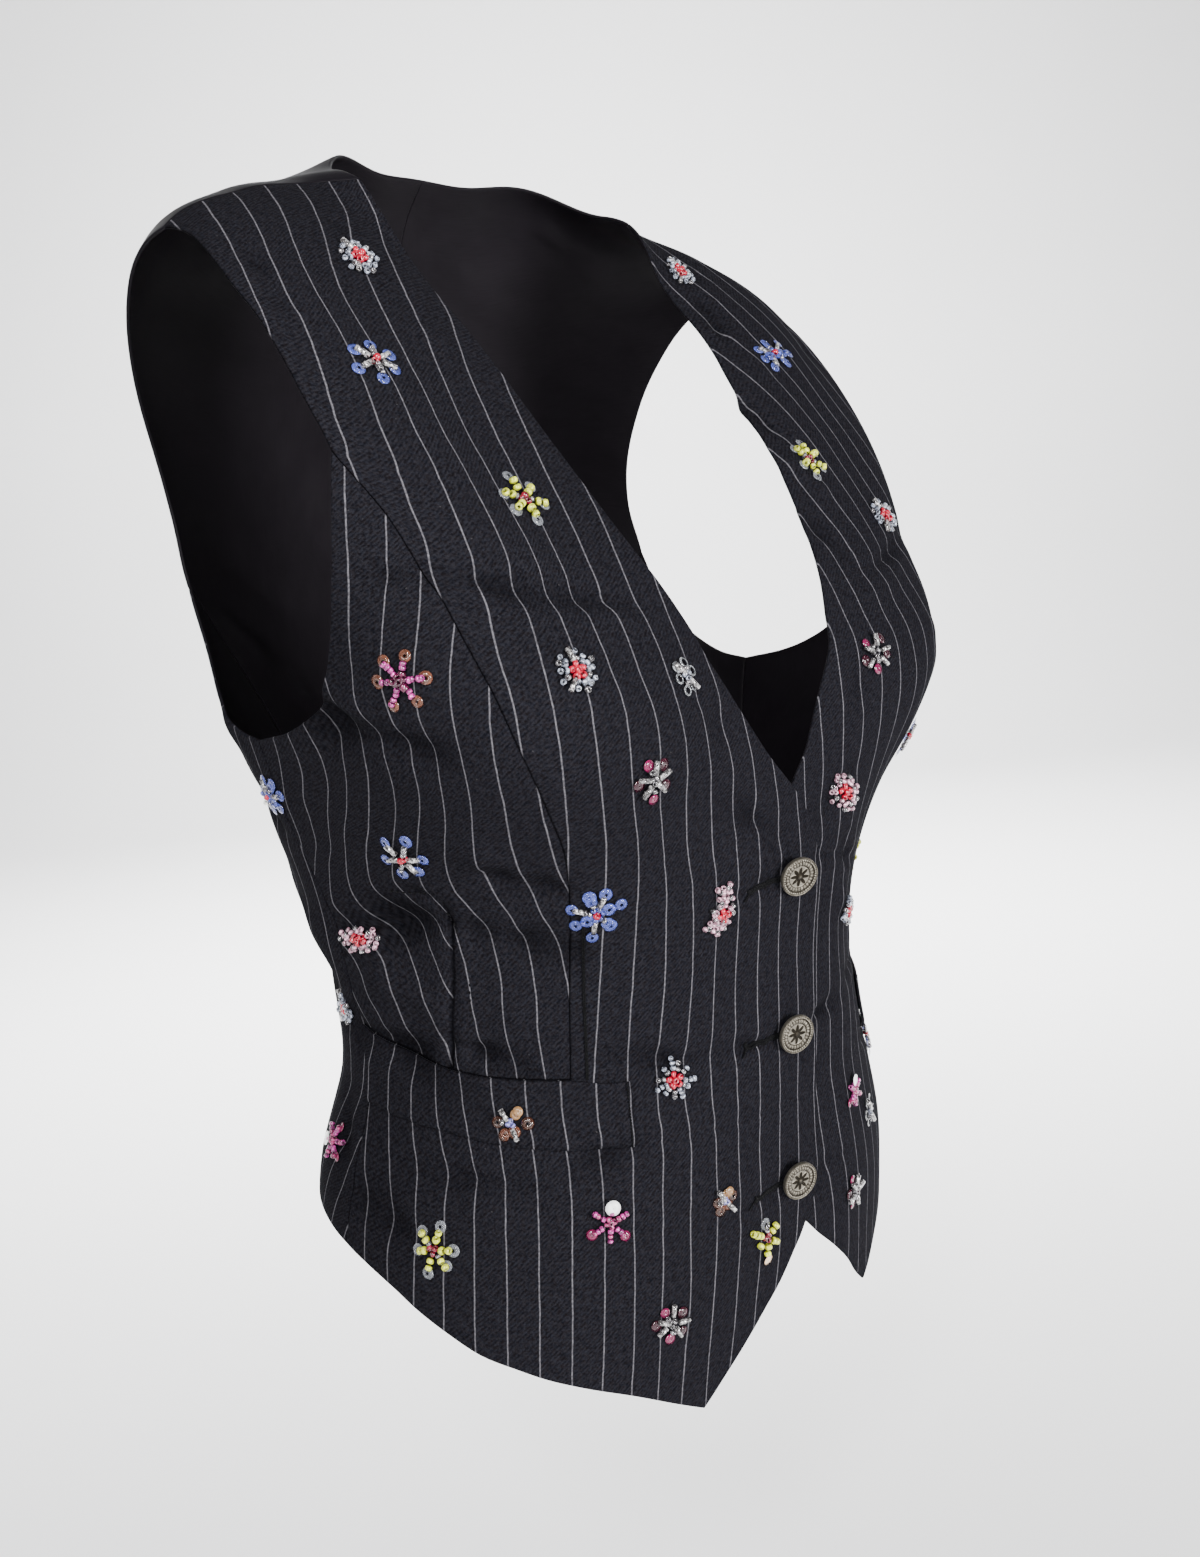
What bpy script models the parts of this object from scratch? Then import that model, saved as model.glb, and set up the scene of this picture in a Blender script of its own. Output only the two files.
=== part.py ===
"""Fitted pinstripe waistcoat with beaded flowers, in its worn form.

Every cloth piece is cut from one body form.  The form is a stack of rings,
each wrapped round the wearer, and a point on it is named by its ring number
(0 at the neck, 14 below the hem) and its angle (0 at the centre front,
negative towards the wearer's right, 180 at the centre back).  Seams and
edges are short tables of such points.  Lengths are millimetres until the
mesh is written, +Z is up and the front faces -Y.
"""
import math

import bmesh
import bpy
import numpy as np

MM = 0.001

# ---- driving sizes, mm ----
WALL = 1.6            # front, side and back cloth with its facing
WELT_WALL = 1.4       # folded welt
SEAM_GAP = 0.3        # clearance between neighbouring pieces
LAY_GAP = 0.3         # clearance under a welt
LAP_SINK = 2.6        # left front lies this far inside the right front
LAP_FULL = 17.0       # the sink is whole up to this distance past the middle
LAP_END = 46.0        # and has faded out by this one
BUTTON_RADIUS = 8.4
BUTTON_THICK = 2.2
BUTTON_LIFT = 3.1     # back of the button above the cloth
SHANK_RADIUS = 1.3
EYE_RADIUS = 1.8      # round end of the keyhole buttonhole
SLIT_LENGTH = 19.0
SLIT_WIDTH = 0.9
PETALS = 8

# ---- body form: one row per ring ----
# level at the front, side and back; half width; centre offset across and
# in depth; depth in front of and behind the centre; roundness exponents
RING_COLUMNS = ("z_front", "z_side", "z_back", "half_width", "x_mid", "y_mid",
                "front", "back", "round_front", "round_back")
RINGS = np.array([
    (-68, -4, 17, 72, 0, 15, 80, 45, 2.0, 2.0),
    (-97, -7, -2, 99, 0, 26, 73, 53, 1.8, 2.0),
    (-121, -15, -36, 133, 0, 24, 95, 71, 1.9, 2.1),
    (-150, -32, -72, 163, 0, 20, 115, 86, 2.3, 2.2),
    (-180, -74, -112, 186, 0, 14, 128, 95, 2.8, 2.3),
    (-208, -145, -160, 177, 0, 12, 135, 97, 3.0, 2.3),
    (-232, -212, -210, 159, 0, 10, 137, 94, 2.8, 2.2),
    (-262, -262, -258, 147, 0, 7, 139, 90, 2.4, 2.2),
    (-300, -300, -300, 138, 0, 3, 135, 86, 2.0, 2.2),
    (-340, -340, -340, 132, 0, 0, 126, 84, 1.9, 2.1),
    (-380, -380, -380, 130, 0, -2, 121, 89, 2.0, 2.2),
    (-420, -420, -420, 143, 0, -1, 118, 98, 2.1, 2.3),
    (-465, -465, -465, 151, -1, -1, 115, 105, 2.2, 2.2),
    (-530, -530, -530, 159, -3, 1, 106, 114, 2.2, 2.2),
    (-560, -560, -560, 161, -4, 1, 101, 118, 2.2, 2.2),
], float)

# swellings on the form, the same on both sides
SWELL_COLUMNS = ("angle", "angle_spread", "ring", "ring_spread", "out", "up")
SWELLS = {
    "bust": (46.0, 17.0, 6.15, 0.92, 24.5, 0.0),
    "shoulder_slope": (115.0, 17.0, 0.0, 1.0, 0.0, 12.0),
}

# ---- seams and edges: rows of (ring, angle) for the wearer's right ----
NECKLINE = ((0.42, -77.1), (0.69, -69.7), (1.03, -61.6), (1.58, -51.4),
            (2.15, -40.6), (2.81, -32.2), (3.82, -23.9), (4.72, -18.3),
            (5.34, -15.7), (6.1, -11.1), (6.77, -5.9), (7.26, 0.1),
            (7.62, 3.9))
FRONT_EDGE = ((7.62, 3.9), (8.0, 6.2), (8.6, 7.0), (9.85, 7.3))
FRONT_EDGE_WELT = ((9.85, 7.3), (10.62, 7.4))
FRONT_EDGE_LOW = ((10.62, 7.4), (11.35, 7.5))
CUTAWAY = ((11.35, 7.5), (11.72, 6.3), (12.03, 2.0), (12.17, -1.4),
           (12.34, -5.8), (12.48, -10.8), (12.6, -15.6), (12.73, -20.2),
           (12.94, -26.8))
CUTAWAY_LEFT = ((11.35, 7.5), (11.72, 6.4), (11.97, 1.0), (12.01, -4.2),
                (12.07, -6.3), (12.21, -11.1), (12.38, -18.0),
                (12.59, -26.1), (12.76, -31.5), (12.93, -37.2))
HEM_FRONT = ((12.94, -26.8), (12.82, -32.1), (12.63, -41.2), (12.48, -50.1),
             (12.38, -56.1), (12.29, -61.0), (12.2, -66.2), (12.08, -71.0),
             (11.93, -76.6), (11.79, -81.5), (11.67, -87.2), (11.57, -93.6))
HEM_FRONT_LEFT = ((12.93, -37.2), (12.81, -42.0), (12.64, -48.0),
                  (12.46, -54.0), (12.34, -59.0), (12.24, -63.5),
                  (12.14, -68.0), (12.03, -72.5), (11.92, -77.0),
                  (11.79, -81.5), (11.67, -87.2), (11.57, -93.6))
SHOULDER = ((0.42, -77.1), (1.0, -81.4), (1.87, -83.2), (2.51, -84.8),
            (3.03, -88.6))
ARMHOLE_FRONT = ((3.03, -88.6), (3.11, -82.6), (3.21, -79.0), (3.39, -73.9),
                 (3.52, -70.0), (3.7, -66.8), (3.85, -64.8), (4.0, -63.0),
                 (4.13, -61.9))
ARMHOLE_SIDE = ((4.13, -61.9), (4.43, -62.3), (4.83, -63.1), (5.18, -64.1),
                (5.44, -65.4), (5.74, -68.0), (5.95, -71.0), (6.10, -75.0),
                (6.24, -82.1), (6.31, -91.0))
PRINCESS = ((4.13, -61.9), (4.36, -57.1), (4.68, -53.9), (4.94, -51.6),
            (5.64, -48.2), (6.27, -46.2), (6.9, -44.6), (7.5, -43.6),
            (8.25, -45.0), (8.98, -47.2), (9.80, -49.2))
WAIST_LAP = ((9.85, 7.3), (9.88, -15.0), (9.88, -38.6))
WAIST_WELT = ((9.88, -38.6), (9.86, -43.5), (9.80, -49.2))
WAIST_SIDE = ((9.80, -49.2), (9.76, -60.0), (9.70, -69.0), (9.60, -78.0),
              (9.46, -86.0), (9.33, -92.3))
LOWER_LAP = ((10.62, 7.4), (10.6, -15.0), (10.56, -38.6))
LOWER_WELT = ((10.56, -38.6), (10.53, -44.0), (10.5, -49.6))
LOWER_SIDE = ((10.5, -49.6), (10.4, -62.3), (10.3, -71.7), (10.22, -82.9),
              (10.15, -92.6))
SIDE_SEAM_HIGH = ((6.31, -91.0), (7.0, -91.6), (8.0, -90.6), (8.7, -91.2),
                  (9.33, -92.3))
SIDE_SEAM_WELT = ((9.33, -92.3), (10.15, -92.6))
SIDE_SEAM_LOW = ((10.15, -92.6), (10.9, -93.0), (11.57, -93.6))
ARMHOLE_UNDER = ((6.31, -91.0), (6.22, -97.5), (5.99, -104.0),
                 (5.66, -109.5), (5.24, -113.0))
ARMHOLE_BACK = ((3.03, -88.6), (3.14, -95.0), (3.37, -102.5),
                (3.76, -109.5), (4.26, -114.0), (4.74, -115.0),
                (5.24, -113.0))
SIDE_BACK_SEAM = ((5.24, -113.0), (5.8, -118.5), (6.5, -124.5),
                  (7.5, -131.0), (8.6, -135.5), (9.6, -137.5),
                  (10.6, -138.0), (11.38, -138.0))
BACK_NECK = ((0.42, -77.1), (0.14, -103.0), (0.03, -125.0), (0.0, -150.0),
             (0.0, -180.0))
CENTRE_BACK = ((0.0, -180.0), (3.0, -180.0), (7.0, -180.0), (11.3, -180.0))
HEM_BACK = ((11.3, -180.0), (11.32, -160.0), (11.38, -138.0))
HEM_SIDE = ((11.38, -138.0), (11.39, -120.0), (11.43, -107.0),
            (11.57, -93.6))

# ---- how many steps each run of cloth is built with ----
STEPS = {"lap": 8, "welt_front": 2, "side": 8, "armhole": 8, "princess": 14,
         "welt_down": 2, "skirt_down": 5, "armhole_back": 8,
         "under": 8}
STEPS["shoulder"] = STEPS["lap"] + STEPS["welt_front"]
# where the three buttons sit, as ring and angle, and the degrees that each
# hangs over to the wearer's right and downward
BUTTONS = ((8.12, -2.5, 17.0, 10.0), (9.82, -2.7, 12.0, 6.5),
           (11.46, -2.1, 14.0, 8.0))


# ---- body form ----
def spline(rows, place):
    """Catmull-Rom through the rows at fractional row numbers."""
    rows = np.asarray(rows, float)
    last = len(rows) - 1
    place = np.clip(np.asarray(place, float), 0, last)
    index = np.clip(place.astype(int), 0, last - 1)
    part = (place - index)[..., None]
    start, end = rows[index], rows[index + 1]
    before = rows[np.clip(index - 1, 0, last)]
    after = rows[np.clip(index + 2, 0, last)]
    before = np.where((index == 0)[..., None], 2 * start - end, before)
    after = np.where((index == last - 1)[..., None], 2 * end - start, after)
    curve = 2 * before - 5 * start + 4 * end - after
    bend = 3 * (start - end) + after - before
    return start + 0.5 * part * ((end - before) + part * (curve + part * bend))


def form_point(ring, angle):
    """Point on the body form, mm, for ring numbers and angles in degrees."""
    turn = np.radians(angle)
    row = spline(RINGS, np.asarray(ring, float) + 0 * turn)
    z_front, z_side, z_back, half, x_mid, y_mid = np.moveaxis(row, -1, 0)[:6]
    front, back, round_front, round_back = np.moveaxis(row, -1, 0)[6:]
    across, ahead = np.sin(turn), np.cos(turn)
    depth = np.where(ahead >= 0, front, back)
    power = np.where(ahead >= 0, round_front, round_back)
    level = np.where(ahead >= 0, z_front, z_back)
    reach = (np.abs(ahead / depth) ** power
             + np.abs(across / half) ** power) ** (-1 / power)
    height = z_side + (level - z_side) * (reach * ahead / depth) ** 2
    around = (np.asarray(angle) + 180.0) % 360.0 - 180.0
    for place, spread, at, tall, out, rise in SWELLS.values():
        bell = np.exp(-0.5 * ((ring - at) / tall) ** 2)
        bell = bell * (np.exp(-0.5 * ((around - place) / spread) ** 2)
                       + np.exp(-0.5 * ((around + place) / spread) ** 2))
        reach = reach + out * bell
        height = height + rise * bell
    return np.stack([x_mid + reach * across, y_mid - reach * ahead, height], -1)


def form_normal(ring, angle):
    """Unit vector out of the form at the same places."""
    ring = np.clip(ring, 0.01, len(RINGS) - 1.01)
    down = form_point(ring + 0.01, angle) - form_point(ring - 0.01, angle)
    round_ = form_point(ring, angle + 0.1) - form_point(ring, angle - 0.1)
    normal = np.cross(down, round_)
    return normal / np.linalg.norm(normal, axis=-1, keepdims=True)


# ---- seams and patches, in (ring, angle) ----
def run(table, steps):
    """Evenly spaced points, by real length, along one table."""
    fine = spline(table, np.linspace(0, len(table) - 1, 40 * len(table)))
    world = form_point(fine[:, 0], fine[:, 1])
    length = np.linalg.norm(np.diff(world, axis=0), axis=1)
    length = np.concatenate([[0], np.cumsum(length)])
    want = np.linspace(0, length[-1], steps + 1)
    return np.stack([np.interp(want, length, fine[:, k]) for k in (0, 1)], -1)


def join(*runs):
    """One run after another, the shared end point kept once."""
    parts = [runs[0]]
    for piece in runs[1:]:
        parts.append(piece[1:])
    return np.concatenate(parts)


def patch(top, bottom, left, right):
    """Coons patch: rows run from top to bottom, columns left to right."""
    down = np.linspace(0, 1, len(left))[:, None, None]
    over = np.linspace(0, 1, len(top))[None, :, None]
    sides = (1 - over) * left[:, None] + over * right[:, None]
    ends = (1 - down) * top[None] + down * bottom[None]
    corners = ((1 - down) * ((1 - over) * top[0] + over * top[-1])
               + down * ((1 - over) * bottom[0] + over * bottom[-1]))
    return sides + ends - corners


def front_grid(cutaway, hem):
    """Front with its skirt; the upper part is narrower than the skirt."""
    lap, welt, side = STEPS["lap"], STEPS["welt_front"], STEPS["side"]
    waist = join(run(WAIST_LAP, lap), run(WAIST_WELT, welt))
    edge = join(run(NECKLINE, STEPS["armhole"] + STEPS["princess"] - 5),
                run(FRONT_EDGE, 5))
    seam = join(run(ARMHOLE_FRONT, STEPS["armhole"]),
                run(PRINCESS, STEPS["princess"]))
    upper = patch(run(SHOULDER, STEPS["shoulder"]), waist, edge, seam)
    wide_waist = join(waist, run(WAIST_SIDE, side))
    lower = join(run(LOWER_LAP, lap), run(LOWER_WELT, welt),
                 run(LOWER_SIDE, side))
    hem_line = join(run(cutaway, lap), run(hem, welt + side))
    band = patch(wide_waist, lower, run(FRONT_EDGE_WELT, STEPS["welt_down"]),
                 run(SIDE_SEAM_WELT, STEPS["welt_down"]))
    skirt = patch(lower, hem_line, run(FRONT_EDGE_LOW, STEPS["skirt_down"]),
                  run(SIDE_SEAM_LOW, STEPS["skirt_down"]))
    skirt = np.concatenate([band, skirt[1:]])
    rows = len(upper) + len(skirt) - 1
    grid = np.full((rows, skirt.shape[1], 2), np.nan)
    grid[:len(upper), :upper.shape[1]] = upper
    grid[len(upper) - 1:] = skirt
    return grid


def side_front_grid():
    """Side front, from the armhole down to the waist seam."""
    return patch(run(ARMHOLE_SIDE, STEPS["side"]),
                 run(WAIST_SIDE, STEPS["side"]),
                 run(PRINCESS, STEPS["princess"]),
                 run(SIDE_SEAM_HIGH, STEPS["princess"]))


def side_back_grid():
    """Side back, from the armhole to the hem."""
    side = join(run(SIDE_SEAM_HIGH, STEPS["princess"]),
                run(SIDE_SEAM_WELT, STEPS["welt_down"]),
                run(SIDE_SEAM_LOW, STEPS["skirt_down"]))
    seam = run(SIDE_BACK_SEAM, len(side) - 1)
    return patch(run(ARMHOLE_UNDER, STEPS["under"]),
                 run(HEM_SIDE[::-1], STEPS["under"]), side, seam)


def back_grid():
    """Half of the plain centre back; its top row is the shoulder seam."""
    rows = STEPS["princess"] + STEPS["welt_down"] + STEPS["skirt_down"]
    seam = join(run(ARMHOLE_BACK, STEPS["armhole_back"]),
                run(SIDE_BACK_SEAM, rows))
    middle = join(run(BACK_NECK, STEPS["armhole_back"]),
                  run(CENTRE_BACK, rows))
    return patch(run(SHOULDER, STEPS["shoulder"]),
                 run(HEM_BACK, STEPS["shoulder"]), middle, seam)


def welt_grid(front):
    """Welt: the part of the front's grid it lies on, under the waist seam."""
    top = STEPS["armhole"] + STEPS["princess"]
    return front[top:top + STEPS["welt_down"] + 1, STEPS["lap"]:]


# ---- solids from grids ----
def mirrored(grid):
    """The same piece for the wearer's left."""
    return grid * np.array([1.0, -1.0])


def sink_of(point, side):
    """How far the left front lies inside the form under the lap."""
    past = (point[..., 0] - LAP_FULL) / (LAP_END - LAP_FULL)
    fade = np.clip(past, 0, 1)
    return side * LAP_SINK * (1 - fade * fade * (3 - 2 * fade))


def layer(grid, raise_by, sink=0.0):
    """Grid points in space, moved out of the form along its normal."""
    solid = np.nan_to_num(grid)
    point = form_point(solid[..., 0], solid[..., 1])
    normal = form_normal(solid[..., 0], solid[..., 1])
    lift = raise_by - sink_of(point, sink)
    return point + normal * np.asarray(lift)[..., None]


def pull_in(points, seams):
    """Move seam edges in by half the gap, towards the next row or column."""
    moved = points.copy()
    for rows, columns, step_row, step_column in seams:
        here = points[rows, columns]
        towards = np.roll(points, (-step_row, -step_column), (0, 1))
        along = towards[rows, columns] - here
        along /= np.linalg.norm(along, axis=-1, keepdims=True)
        moved[rows, columns] += 0.5 * SEAM_GAP * along
    return moved


def shell(name, grid, material, seams=(), top=0.0, wall=WALL, sink=0.0):
    """Closed body between an outer and an inner layer of one grid."""
    outer = pull_in(layer(grid, top, sink), seams)
    inner = pull_in(layer(grid, top - wall, sink), seams)
    there = ~np.isnan(grid[..., 0])
    cells = there[:-1, :-1] & there[1:, :-1] & there[:-1, 1:] & there[1:, 1:]
    mesh = bmesh.new()
    used = np.argwhere(there)
    faces = {}
    for key, points in (("out", outer), ("in", inner)):
        for row, column in used:
            place = points[row, column] * MM
            faces[key, row, column] = mesh.verts.new(place)
    for row, column in np.argwhere(cells):
        ring = [(row, column), (row + 1, column),
                (row + 1, column + 1), (row, column + 1)]
        mesh.faces.new([faces["out", r, c] for r, c in ring])
        mesh.faces.new([faces["in", r, c] for r, c in ring[::-1]])
        for (r0, c0), (r1, c1) in zip(ring, ring[1:] + ring[:1]):
            close_edge(mesh, faces, cells, (row, column), (r0, c0), (r1, c1))
    bmesh.ops.recalc_face_normals(mesh, faces=mesh.faces)
    return finish_mesh(name, mesh, material)


def close_edge(mesh, faces, cells, cell, first, second):
    """Rim face on an edge that has cloth on one side only."""
    row, column = cell
    if first[0] == second[0]:
        other = (row - 1 if first[0] == row else row + 1, column)
    else:
        other = (row, column - 1 if first[1] == column else column + 1)
    inside = (0 <= other[0] < cells.shape[0] and 0 <= other[1] < cells.shape[1]
              and cells[other])
    if not inside:
        mesh.faces.new([faces["out", *second], faces["out", *first],
                        faces["in", *first], faces["in", *second]])


def finish_mesh(name, mesh, material):
    """Write the mesh to a named object with its material."""
    data = bpy.data.meshes.new(name)
    mesh.to_mesh(data)
    mesh.free()
    body = bpy.data.objects.new(name, data)
    bpy.context.scene.collection.objects.link(body)
    data.materials.append(material)
    return body


def new_material(name, colour, roughness, metallic=0.0):
    """Plain Principled material."""
    material = bpy.data.materials.new(name)
    material.use_nodes = True
    shader = material.node_tree.nodes["Principled BSDF"]
    shader.inputs["Base Color"].default_value = (*colour, 1.0)
    shader.inputs["Roughness"].default_value = roughness
    shader.inputs["Metallic"].default_value = metallic
    return material


# ---- buttons and buttonholes ----
def button_frame(ring, angle):
    """Centre on the cloth, outward, upward and sideways directions."""
    centre = form_point(ring, angle)
    out = form_normal(ring, angle)
    side = np.cross(np.array([0.0, 0.0, 1.0]), out)
    side /= np.linalg.norm(side)
    return centre, out, np.cross(out, side), side


def button_relief(radius, turn):
    """Face height above the button's back: rim, petals and middle boss."""
    petal = 0.5 + 0.5 * math.cos(PETALS * turn)
    radius = radius * 9.0 / BUTTON_RADIUS
    if radius > 7.3:
        return BUTTON_THICK + 0.35 * math.sin(math.pi * (radius - 7.3) / 1.7)
    if radius > 2.2:
        arch = math.sin(math.pi * (radius - 2.2) / 5.1)
        return BUTTON_THICK - 0.45 + 0.75 * petal * arch
    return BUTTON_THICK - 0.45 + 0.8 * math.cos(math.pi * radius / 4.4)


def button_rings():
    """Rows from the shank's foot to the face: radius, height, on the disc."""
    rows = [(SHANK_RADIUS, -LAP_SINK + 0.3, False), (SHANK_RADIUS, 0.0, True),
            (0.93 * BUTTON_RADIUS, 0.0, True), (BUTTON_RADIUS, 0.5, True)]
    for share in (9.0, 8.6, 8.15, 7.7, 7.3, 6.3, 5.2, 4.2, 3.1, 2.2, 1.2):
        rows.append((share / 9.0 * BUTTON_RADIUS, None, True))
    return rows


def make_button(name, seat, material):
    """Shank button with a petal rosette and a raised rim."""
    ring, angle, aside, down = seat
    centre, out, up, side = button_frame(ring, angle)
    aside, down = math.radians(aside), math.radians(down)
    disc_out = (math.cos(down) * (out * math.cos(aside)
                                  - side * math.sin(aside))
                - up * math.sin(down))
    disc_side = side - disc_out * float(side @ disc_out)
    disc_side /= np.linalg.norm(disc_side)
    disc_up = np.cross(disc_out, disc_side)
    disc = centre + out * BUTTON_LIFT
    turns = [2 * math.pi * k / 32 for k in range(32)]
    mesh = bmesh.new()
    rings = []
    for radius, height, on_disc in button_rings():
        start, axis = (disc, disc_out) if on_disc else (centre, out)
        across, upward = (disc_side, disc_up) if on_disc else (side, up)
        points = []
        for turn in turns:
            lift = button_relief(radius, turn) if height is None else height
            place = (start + axis * lift + across * radius * math.cos(turn)
                     + upward * radius * math.sin(turn))
            points.append(mesh.verts.new(place * MM))
        rings.append(points)
    for lower, upper in zip(rings, rings[1:]):
        for k in range(32):
            after = (k + 1) % 32
            mesh.faces.new([lower[k], lower[after], upper[after], upper[k]])
    tip = mesh.verts.new((disc + disc_out * button_relief(0, 0)) * MM)
    for k in range(32):
        mesh.faces.new([rings[-1][k], rings[-1][(k + 1) % 32], tip])
    mesh.faces.new(rings[0][::-1])
    bmesh.ops.recalc_face_normals(mesh, faces=mesh.faces)
    return finish_mesh(name, mesh, material)


def slot_cutter(name, seat):
    """Keyhole buttonhole: a slit with a round eye round the shank."""
    centre, out, up, side = button_frame(*seat[:2])
    outline = [(-SLIT_LENGTH, -SLIT_WIDTH / 2), (-SLIT_LENGTH, SLIT_WIDTH / 2)]
    start = math.asin(SLIT_WIDTH / 2 / EYE_RADIUS)
    for k in range(17):
        turn = math.pi - start - k * (2 * math.pi - 2 * start) / 16
        outline.append((EYE_RADIUS * math.cos(turn),
                        EYE_RADIUS * math.sin(turn)))
    mesh = bmesh.new()
    ends = []
    for depth in (-WALL - 0.6, 6.0):
        ends.append([mesh.verts.new((centre + out * depth + side * x + up * y)
                                    * MM) for x, y in outline])
    count = len(outline)
    for k in range(count):
        after = (k + 1) % count
        mesh.faces.new([ends[0][k], ends[0][after],
                        ends[1][after], ends[1][k]])
    mesh.faces.new(ends[0][::-1])
    mesh.faces.new(ends[1])
    bmesh.ops.recalc_face_normals(mesh, faces=mesh.faces)
    data = bpy.data.meshes.new(name)
    mesh.to_mesh(data)
    mesh.free()
    cutter = bpy.data.objects.new(name, data)
    bpy.context.scene.collection.objects.link(cutter)
    cutter.hide_render = True
    cutter.display_type = "WIRE"
    return cutter


def cut(body, cutter):
    """Take the cutter out of the body."""
    step = body.modifiers.new(cutter.name, "BOOLEAN")
    step.operation = "DIFFERENCE"
    step.solver = "EXACT"
    step.object = cutter


# ---- build ----
def clear_scene():
    """Start from an empty file."""
    for item in list(bpy.data.objects):
        bpy.data.objects.remove(item, do_unlink=True)


def build_side(side, materials):
    """All cloth pieces of one side; side is 'right' or 'left'."""
    right = side == "right"
    turn = (lambda grid: grid) if right else mirrored
    front = turn(front_grid(CUTAWAY if right else CUTAWAY_LEFT,
                            HEM_FRONT if right else HEM_FRONT_LEFT))
    waist_row = STEPS["armhole"] + STEPS["princess"]
    seam_column = STEPS["shoulder"]
    every = slice(None)
    last = front.shape[1] - 1
    seams = (
        (0, slice(0, seam_column + 1), 1, 0),
        (slice(STEPS["armhole"], waist_row + 1), seam_column, 0, -1),
        (waist_row, slice(seam_column, last + 1), 1, 0),
        (slice(waist_row, front.shape[0]), last, 0, -1),
    )
    body = shell("front_" + side, front, materials["cloth"], seams,
                 sink=0.0 if right else 1.0)
    if right:
        for number, seat in enumerate(BUTTONS, 1):
            cut(body, slot_cutter("buttonhole_cutter_%d" % number, seat))
    shell("side_front_" + side, turn(side_front_grid()), materials["cloth"],
          ((every, 0, 0, 1), (every, -1, 0, -1), (-1, every, -1, 0)))
    shell("side_back_" + side, turn(side_back_grid()), materials["cloth"],
          ((every, 0, 0, 1), (every, -1, 0, -1)))
    high = slice(STEPS["armhole_back"], None)
    shell("back_" + side, turn(back_grid()), materials["back_cloth"],
          ((high, 0, 0, 1), (high, -1, 0, -1), (0, every, 1, 0)))
    shell("welt_" + side, welt_grid(front), materials["cloth"],
          ((0, every, 1, 0), (every, -1, 0, -1)),
          top=LAY_GAP + WELT_WALL, wall=WELT_WALL)


def build():
    """The whole waistcoat."""
    clear_scene()
    materials = {
        "cloth": new_material("pinstripe_cloth", (0.02, 0.021, 0.027), 0.85),
        "back_cloth": new_material("plain_back_cloth", (0.014, 0.01, 0.012),
                                   0.6),
        "metal": new_material("antique_silver", (0.42, 0.4, 0.36), 0.35, 1.0),
    }
    build_side("right", materials)
    build_side("left", materials)
    for number, seat in enumerate(BUTTONS, 1):
        make_button("button_%d" % number, seat, materials["metal"])


build()
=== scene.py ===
import math

import bmesh
import bpy
import numpy as np
from mathutils import Matrix, Vector


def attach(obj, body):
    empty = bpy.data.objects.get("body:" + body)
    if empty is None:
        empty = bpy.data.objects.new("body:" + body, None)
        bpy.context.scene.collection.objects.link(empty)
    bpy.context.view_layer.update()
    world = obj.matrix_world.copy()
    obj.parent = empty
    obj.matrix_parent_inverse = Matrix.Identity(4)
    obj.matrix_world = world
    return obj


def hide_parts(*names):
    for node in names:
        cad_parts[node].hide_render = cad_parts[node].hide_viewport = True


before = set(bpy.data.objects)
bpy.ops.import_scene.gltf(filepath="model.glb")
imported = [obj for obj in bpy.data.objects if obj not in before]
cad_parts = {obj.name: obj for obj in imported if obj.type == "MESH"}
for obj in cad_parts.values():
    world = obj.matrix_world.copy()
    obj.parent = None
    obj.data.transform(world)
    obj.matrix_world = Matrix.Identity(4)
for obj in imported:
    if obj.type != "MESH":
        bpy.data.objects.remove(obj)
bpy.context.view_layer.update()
MM = 0.001


# ---------------------------------------------------------------- fronts
# The fronts are cut in one from shoulder to hem from charcoal wool twill
# with a woven pinstripe, and faced inside with dark satin.  They hang from
# the shoulders; the cloth eases into soft folds under the arm and bust.
WALL = 1.6
FREE_EDGE, SEAM = 0.9, 0.85      # radius of a turned edge and of a seam
LAP_SINK, LAP_FULL, LAP_END = 2.6, 17.0, 46.0

# the body form: a row for each ring, from the neck to below the hem, with
# the levels at front, side and back, half width, centre across and in
# depth, depth before and behind, and roundness before and behind
RINGS = np.array([
    (-68, -4, 17, 72, 0, 15, 80, 45, 2.0, 2.0),
    (-97, -7, -2, 99, 0, 26, 73, 53, 1.8, 2.0),
    (-121, -15, -36, 133, 0, 24, 95, 71, 1.9, 2.1),
    (-150, -32, -72, 163, 0, 20, 115, 86, 2.3, 2.2),
    (-180, -74, -112, 186, 0, 14, 128, 95, 2.8, 2.3),
    (-208, -145, -160, 177, 0, 12, 135, 97, 3.0, 2.3),
    (-232, -212, -210, 159, 0, 10, 137, 94, 2.8, 2.2),
    (-262, -262, -258, 147, 0, 7, 139, 90, 2.4, 2.2),
    (-300, -300, -300, 138, 0, 3, 135, 86, 2.0, 2.2),
    (-340, -340, -340, 132, 0, 0, 126, 84, 1.9, 2.1),
    (-380, -380, -380, 130, 0, -2, 121, 89, 2.0, 2.2),
    (-420, -420, -420, 143, 0, -1, 118, 98, 2.1, 2.3),
    (-465, -465, -465, 151, -1, -1, 115, 105, 2.2, 2.2),
    (-530, -530, -530, 159, -3, 1, 106, 114, 2.2, 2.2),
    (-560, -560, -560, 161, -4, 1, 101, 118, 2.2, 2.2)], float)
# angle, its spread, ring, its spread, outward, upward
SWELLS = ((46.0, 17.0, 6.15, 0.92, 24.5, 0.0),
          (115.0, 17.0, 0.0, 1.0, 0.0, 12.0))

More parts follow.
